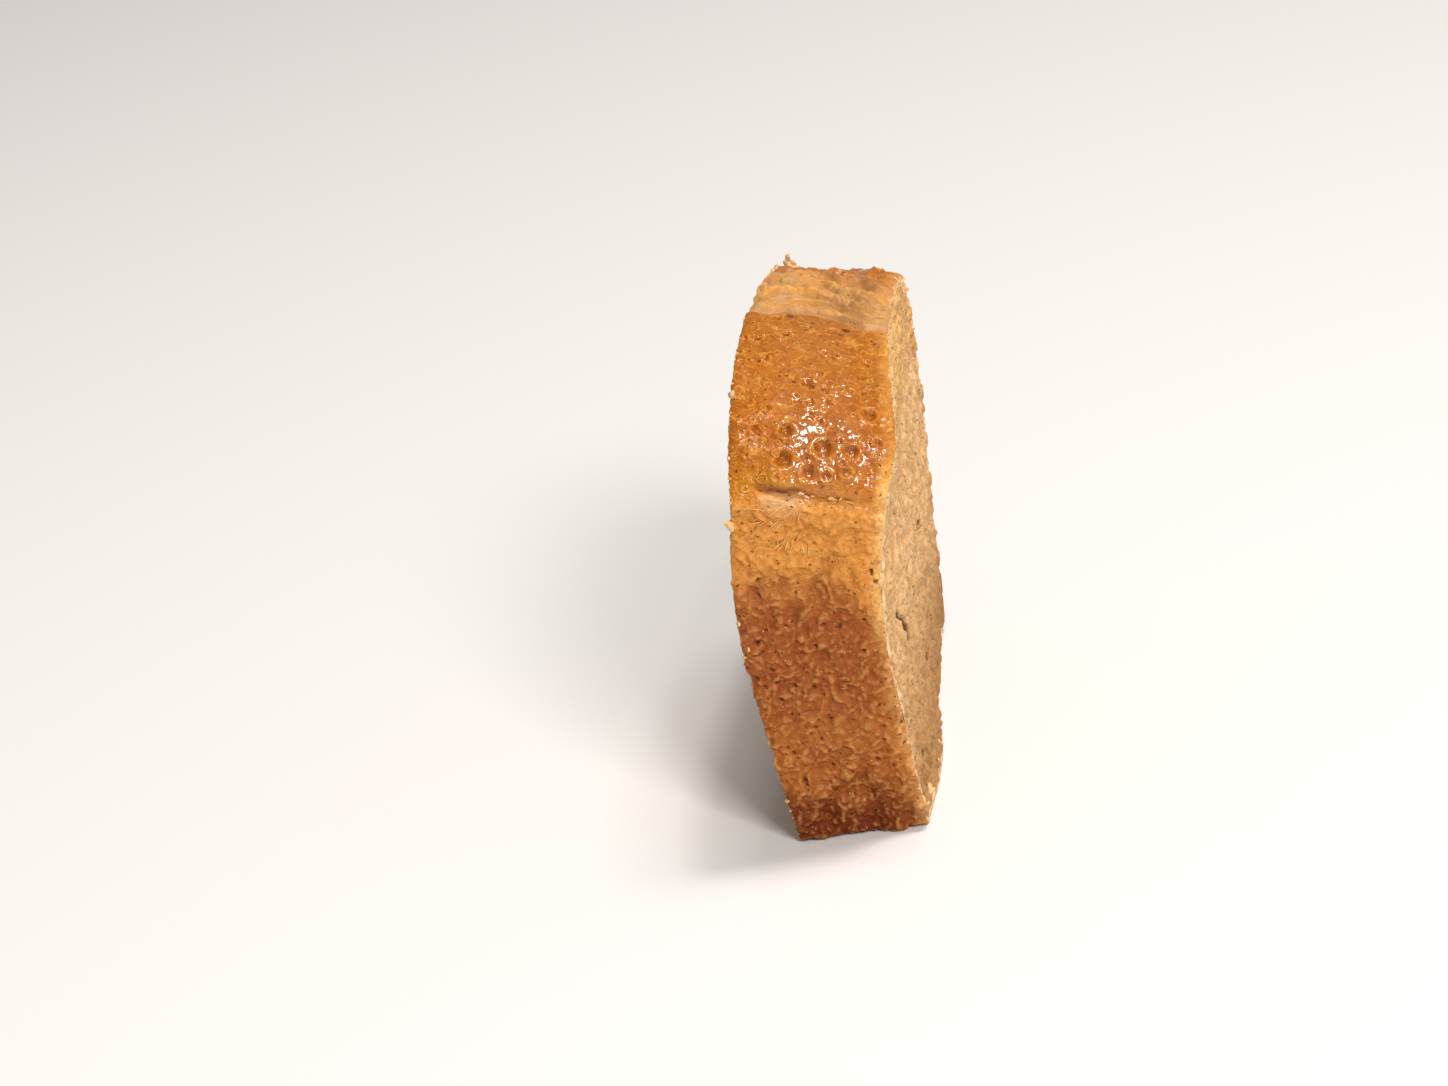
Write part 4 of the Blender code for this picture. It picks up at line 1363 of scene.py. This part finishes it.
def crust_material(look, crumb_look):
    material, tree, shader = new_material("browned_crust", 0.38, 0.12)
    place = object_place(tree)
    curls = curled(tree, place, 2.2, 0.9)
    dome, split, hollow, strand = (attribute(tree, name) for name in ("dome", "split", "hollow", "strand"))
    bare = one_less(tree, split)
    by_dome = maths(tree, "MULTIPLY_ADD", dome, 0.7, 0.3)
    wander = maths(tree, "SUBTRACT", pattern(tree, place, 2.5, 2.0), 0.5)
    inset = maths(tree, "MULTIPLY_ADD", wander, 0.9, attribute(tree, "inset"))

    pores = times(tree, dots(tree, curls, 1.8, 0.26), bare)
    ring, ring_floor = bubbles(tree, curled(tree, place, 1.4, 0.3), 3.0, 0.4, 0.85, 0.3)
    small_ring, _ = bubbles(tree, place, 1.5, 0.15, 0.36, 0.18)
    ring, small_ring = times(tree, ring, bare), times(tree, small_ring, bare)
    ring_height = times(tree, ring, by_dome)
    beads = dots(tree, curled(tree, place, 3.0, 0.8), 1.7, 0.26)
    squiggles = one_less(tree, creases(tree, curled(tree, place, 2.0, 1.4), 2.4, 0.035))
    strands = add_node(tree, "ShaderNodeCombineXYZ")
    connect(tree, times(tree, attribute(tree, "along"), 0.1), strands, 0)
    connect(tree, strand, strands, 1)
    strands = strands.outputs[0]
    threads = creases(tree, strands, 1.4, 0.12, 1.0)

    shade = blend(tree, dome, wall_colour(tree, look, place), shoulder_colour(tree, look, place))
    mottle = between(tree, pattern(tree, curls, 1.6, 3.0, 0.6), 0.35, 0.65)
    shade = blend(tree, mottle, shade, MOTTLE, "MULTIPLY")
    # Painted shade in the hollows
    shade = blend(tree, times(tree, between(tree, hollow, 0.0, 0.35), 0.55), shade, HOLLOW_SHADE, "MULTIPLY")
    shade = layered(
        tree, shade,
        # Painted light on the raised parts
        (between(tree, hollow, 0.02, -0.25), 0.22, blend(tree, dome, PROUD_WALL_LIGHT, PROUD_DOME_LIGHT)),
        (attribute(tree, "ledge"), 0.75, LEDGE_CRUMB),
        # Painted shade deep in the pits
        (between(tree, attribute(tree, "pit"), 0.2, 1.0), 0.45, PIT_SHADE),
        # Painted shade inside the bubble rings
        (times(tree, ring_floor, dome), 0.45, RING_FLOOR_SHADE),
        # Painted highlights along the rims of the large and small bubbles
        (ring_height, 0.45, RING_HIGHLIGHT),
        (times(tree, small_ring, by_dome), 0.35, RING_HIGHLIGHT),
        # Painted glints on the beads
        (beads, 0.5, BEAD_GLINT),
        # Painted highlight in thin curling lines over the dome
        (times(tree, squiggles, dome), 0.4, SQUIGGLE_HIGHLIGHT),
        (split, 1.0, torn_colour(tree, look, strand, strands, threads, hollow)),
        (attribute(tree, "lip"), 0.75, blend(tree, threads, LIP_SHADE, LIP_THREAD)),
        # Painted shade in the small pores
        (pores, 0.7, PORE_SHADE),
        # Real scorched spots, and painted shade in the broken bubbles and in the crack under the overhang
        (between(tree, attribute(tree, "scorch_and_shade"), 0.1, 1.0), 1.0, SCORCH_AND_HOLE_SHADE),
        (between(tree, inset, 0.1, 0.6), 1.0, crumb_look.pale),
    )
    connect(tree, shade, shader, "Base Color")

    strand_height = times(tree, pattern(tree, strands, 0.9, 2.0), split)
    curl_height = times(tree, creases(tree, curls, 0.85, 0.2, 1.0), bare)
    grain = pattern(tree, place, 0.45, 2.0, 0.6)
    connect(tree, relief_of(
        tree, (grain, 0.07), (strand_height, 0.5), (curl_height, 0.08), (pores, -0.4), (beads, 0.25),
        (ring_height, 0.22), (small_ring, 0.12)), shader, "Normal")
    ripples = pattern(tree, curled(tree, object_place(tree, (0.8, 1.6, 1.6)), 1.8, 0.9), 1.0, 0.0)
    connect(tree, relief_of(tree, (ripples, 0.18), (ring, 0.05), (beads, 0.06)), shader, "Coat Normal")
    wet = between(tree, attribute(tree, "glazed"), 0.0, 1.0, 0.14, 1.0)
    low_dome = between(tree, attribute(tree, "tin_height"), 1.25, 1.17, 0.35, 1.0)
    for share in (by_dome, bare, between(tree, inset, 0.5, 0.1), low_dome):
        wet = times(tree, wet, share)
    connect(tree, wet, shader, "Coat Weight")
    shader.inputs["Coat Roughness"].default_value = 0.05
    shader.inputs["Coat IOR"].default_value = 1.52
    return material


def edge_crumb_material(look, crumb_look):
    """Crumbs between the crust's own colour and the pale crumb's."""
    material, tree, shader = new_material("edge_crumbs", 0.6, 0.3)
    place = object_place(tree)
    tone = between(tree, pattern(tree, place, 2.0, 2.0, 0.6), 0.36, 0.60, 0.15, 0.85)
    by_dome = between(tree, attribute(tree, "tin_height"), 0.97, 1.03)
    crust = blend(tree, by_dome, wall_colour(tree, look, place), look.torn)
    connect(tree, blend(tree, tone, crust, crumb_look.pale), shader, "Base Color")
    connect(tree, relief_of(tree, (pattern(tree, place, 0.4, 2.0, 0.6), 0.15)), shader, "Normal")
    return material


def loose_material(name, main, other, roughness):
    """Baked crust for the thin flakes and threads, in two tones."""
    material, tree, shader = new_material(name, roughness, 0.3)
    place = object_place(tree)
    tone = between(tree, pattern(tree, place, 3.0, 3.0, 0.6), 0.38, 0.62)
    connect(tree, blend(tree, tone, main, other), shader, "Base Color")
    connect(tree, relief_of(tree, (pattern(tree, place, 0.4, 2.0, 0.6), 0.15)), shader, "Normal")
    return material


def crumb_material(look):
    material, tree, shader = new_material("open_crumb", 0.75, 0.25)
    place = object_place(tree)
    curls = curled(tree, place, 1.8, 0.7)
    height = attribute(tree, "tin_height")
    tone = between(tree, pattern(tree, place, 6.0, 3.0, 0.6), 0.35, 0.65)
    streaks = between(tree, pattern(tree, object_place(tree, (1, 3, 7)), 1.1, 2.0, 0.6), 0.38, 0.62)
    browned = between(tree, pattern(tree, place, 4.0, 2.0), 0.3, 0.55)
    pores = dots(tree, curls, 1.3, 0.3)
    specks_and_hole_shade = dots(tree, curled(tree, object_place(tree, (1, 2.4, 1)), 1.0, 0.4), 4.6, 0.3)
    # The deep openings join the specks, as painted shade
    specks_and_hole_shade = maths(tree, "MAXIMUM", specks_and_hole_shade, between(tree, attribute(tree, "opening"), 0.05, 0.4))
    shade = layered(tree, look.pale, (tone, 0.35, CRUMB_TONE))
    shade = blend(tree, streaks, shade, CRUMB_STREAK, "MULTIPLY")
    shade = layered(
        tree, shade,
        (times(tree, attribute(tree, "by_far_crust"), browned), 0.85, CRUMB_BY_FAR_CRUST),
        (between(tree, height, 0.85, 1.05), 0.75, HIGH_CRUMB),
        (attribute(tree, "by_near_crust"), 0.7, CRUMB_BY_NEAR_CRUST),
        # Painted shade in the crumb's hollows and pores
        (between(tree, attribute(tree, "hollow"), 0.0, 0.9), 0.85, look.deep),
        (pores, 0.6, look.deep),
        # Darker towards the foot: partly browner crumb, partly painted shade
        (between(tree, height, 0.6, 0.05), 0.9, LOW_CRUMB_AND_SHADE),
        (specks_and_hole_shade, 1.0, look.speck_and_hole_shade),
    )
    connect(tree, shade, shader, "Base Color")
    grain = pattern(tree, curls, 0.7, 3.0, 0.65)
    grain = maths(tree, "MULTIPLY_ADD", pores, -0.8, grain)
    connect(tree, relief_of(tree, (grain, 0.45)), shader, "Normal")
    return material


# Stage


def add_light(name, power, size, place, aim):
    data = bpy.data.lights.new(name, "AREA")
    data.energy = power
    data.shape = "RECTANGLE"
    data.size, data.size_y = size
    light = bpy.data.objects.new(name, data)
    light.location = place
    light.rotation_euler = (Vector(aim) - Vector(place)).to_track_quat("-Z", "Y").to_euler()
    bpy.context.scene.collection.objects.link(light)


def floor_material(studio):
    material, tree, shader = new_material("pale_floor", 0.7, 0.5)
    connect(tree, studio.floor_colour, shader, "Base Color")
    return material


def add_camera(studio):
    """A camera that looks down on the near crust, rolled as far as the slice leans in its view."""
    azimuth, down = math.radians(CAMERA_AZIMUTH), math.radians(CAMERA_DOWN)
    ahead = Vector((math.sin(azimuth) * math.cos(down), math.cos(azimuth) * math.cos(down), -math.sin(down)))
    right = Vector((math.cos(azimuth), -math.sin(azimuth), 0))
    up = right.cross(ahead)
    turned_right = right * math.cos(studio.roll) - up * math.sin(studio.roll)
    turned_up = up * math.cos(studio.roll) + right * math.sin(studio.roll)
    turn = Matrix((turned_right, turned_up, -ahead)).transposed().to_4x4()
    data = bpy.data.cameras.new("camera")
    data.lens = studio.lens
    data.sensor_width = SENSOR_WIDTH
    data.clip_start = 0.01
    camera = bpy.data.objects.new("camera", data)
    camera.matrix_world = Matrix.Translation(CAMERA_PLACE - OFF_CENTRE) @ turn
    bpy.context.scene.collection.objects.link(camera)
    bpy.context.scene.camera = camera


def set_stage(studio):
    bpy.ops.mesh.primitive_plane_add(size=FLOOR_SIZE, location=(0, 0, 0))
    floor = bpy.context.object
    floor.name = floor.data.name = "pale_floor"
    floor.data.materials.append(floor_material(studio))
    world = bpy.data.worlds.new("studio")
    world.use_nodes = True
    background = world.node_tree.nodes["Background"]
    background.inputs["Color"].default_value = WORLD_COLOUR
    background.inputs["Strength"].default_value = studio.sky
    bpy.context.scene.world = world
    for name, setting, share, size, place, aim_height in LIGHTS:
        add_light(name, share * getattr(studio, setting), size, place, (0, 0, aim_height))
    bpy.context.scene.view_settings.view_transform = "Standard"
    add_camera(studio)


# Operators


class BREAD_OT_bake_crust(bpy.types.Operator):
    """Bakes the browned crust of the walls and the split dome"""

    bl_idname = "bread.bake_crust"
    bl_label = "Bake crust"

    def execute(self, context):
        scene = context.scene
        piece = bake_crust(scene.bread_shape)
        finish_piece(piece, crust_material(scene.bread_crust, scene.bread_crumb))
        return {"FINISHED"}


class BREAD_OT_cut_crumb(bpy.types.Operator):
    """Cuts the open crumb that shows on both sides of the slice"""

    bl_idname = "bread.cut_crumb"
    bl_label = "Cut crumb"

    def execute(self, context):
        scene = context.scene
        piece = cut_crumb(scene.bread_shape, scene.bread_crumb)
        finish_piece(piece, crumb_material(scene.bread_crumb))
        return {"FINISHED"}


class BREAD_OT_cling_crumbs(bpy.types.Operator):
    """Adds the crumbs along the cut edges, the flakes along the ledge and the threads below it"""

    bl_idname = "bread.cling_crumbs"
    bl_label = "Cling crumbs"

    def execute(self, context):
        scene = context.scene
        crust, crumb = scene.bread_crust, scene.bread_crumb
        loose = scene.bread_loose
        crumbs = cling_crumbs(loose)
        finish_piece(crumbs, edge_crumb_material(crust, crumb))
        flakes = lift_flakes(loose)
        finish_piece(flakes, loose_material("ledge_flakes", crumb.pale, crust.high, 0.35))
        threads = draw_threads(loose)
        finish_piece(threads, loose_material("wall_threads", WALL_THREAD, crust.high, 0.4))
        return {"FINISHED"}


class BREAD_OT_set_stage(bpy.types.Operator):
    """Sets the pale floor, the soft lights and the camera"""

    bl_idname = "bread.set_stage"
    bl_label = "Set stage"

    def execute(self, context):
        set_stage(context.scene.bread_studio)
        return {"FINISHED"}


class BREAD_PT_slice(bpy.types.Panel):
    """Settings and steps of the banana bread slice"""

    bl_label = "Banana bread slice"
    bl_space_type = "VIEW_3D"
    bl_region_type = "UI"
    bl_category = "Bread"

    def draw(self, context):
        layout = self.layout
        for group in SETTINGS:
            settings = getattr(context.scene, group)
            column = layout.column(align=True)
            for name in settings.bl_rna.properties.keys():
                if name not in ("rna_type", "name"):
                    column.prop(settings, name)
        for operator in OPERATORS:
            layout.operator(operator.bl_idname)


SETTINGS = {
    "bread_shape": SliceShape,
    "bread_crust": CrustLook,
    "bread_crumb": CrumbLook,
    "bread_loose": LooseCrumbs,
    "bread_studio": Studio,
}
OPERATORS = (BREAD_OT_bake_crust, BREAD_OT_cut_crumb, BREAD_OT_cling_crumbs, BREAD_OT_set_stage)


def register():
    for name, group in SETTINGS.items():
        bpy.utils.register_class(group)
        setattr(bpy.types.Scene, name, bpy.props.PointerProperty(type=group))
    for item in (*OPERATORS, BREAD_PT_slice):
        bpy.utils.register_class(item)


def unregister():
    for item in (BREAD_PT_slice, *reversed(OPERATORS)):
        bpy.utils.unregister_class(item)
    for name, group in reversed(SETTINGS.items()):
        delattr(bpy.types.Scene, name)
        bpy.utils.unregister_class(group)


def main():
    register()
    bpy.ops.bread.bake_crust()
    bpy.ops.bread.cut_crumb()
    bpy.ops.bread.cling_crumbs()
    bpy.ops.bread.set_stage()
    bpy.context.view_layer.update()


if __name__ == "__main__":
    main()
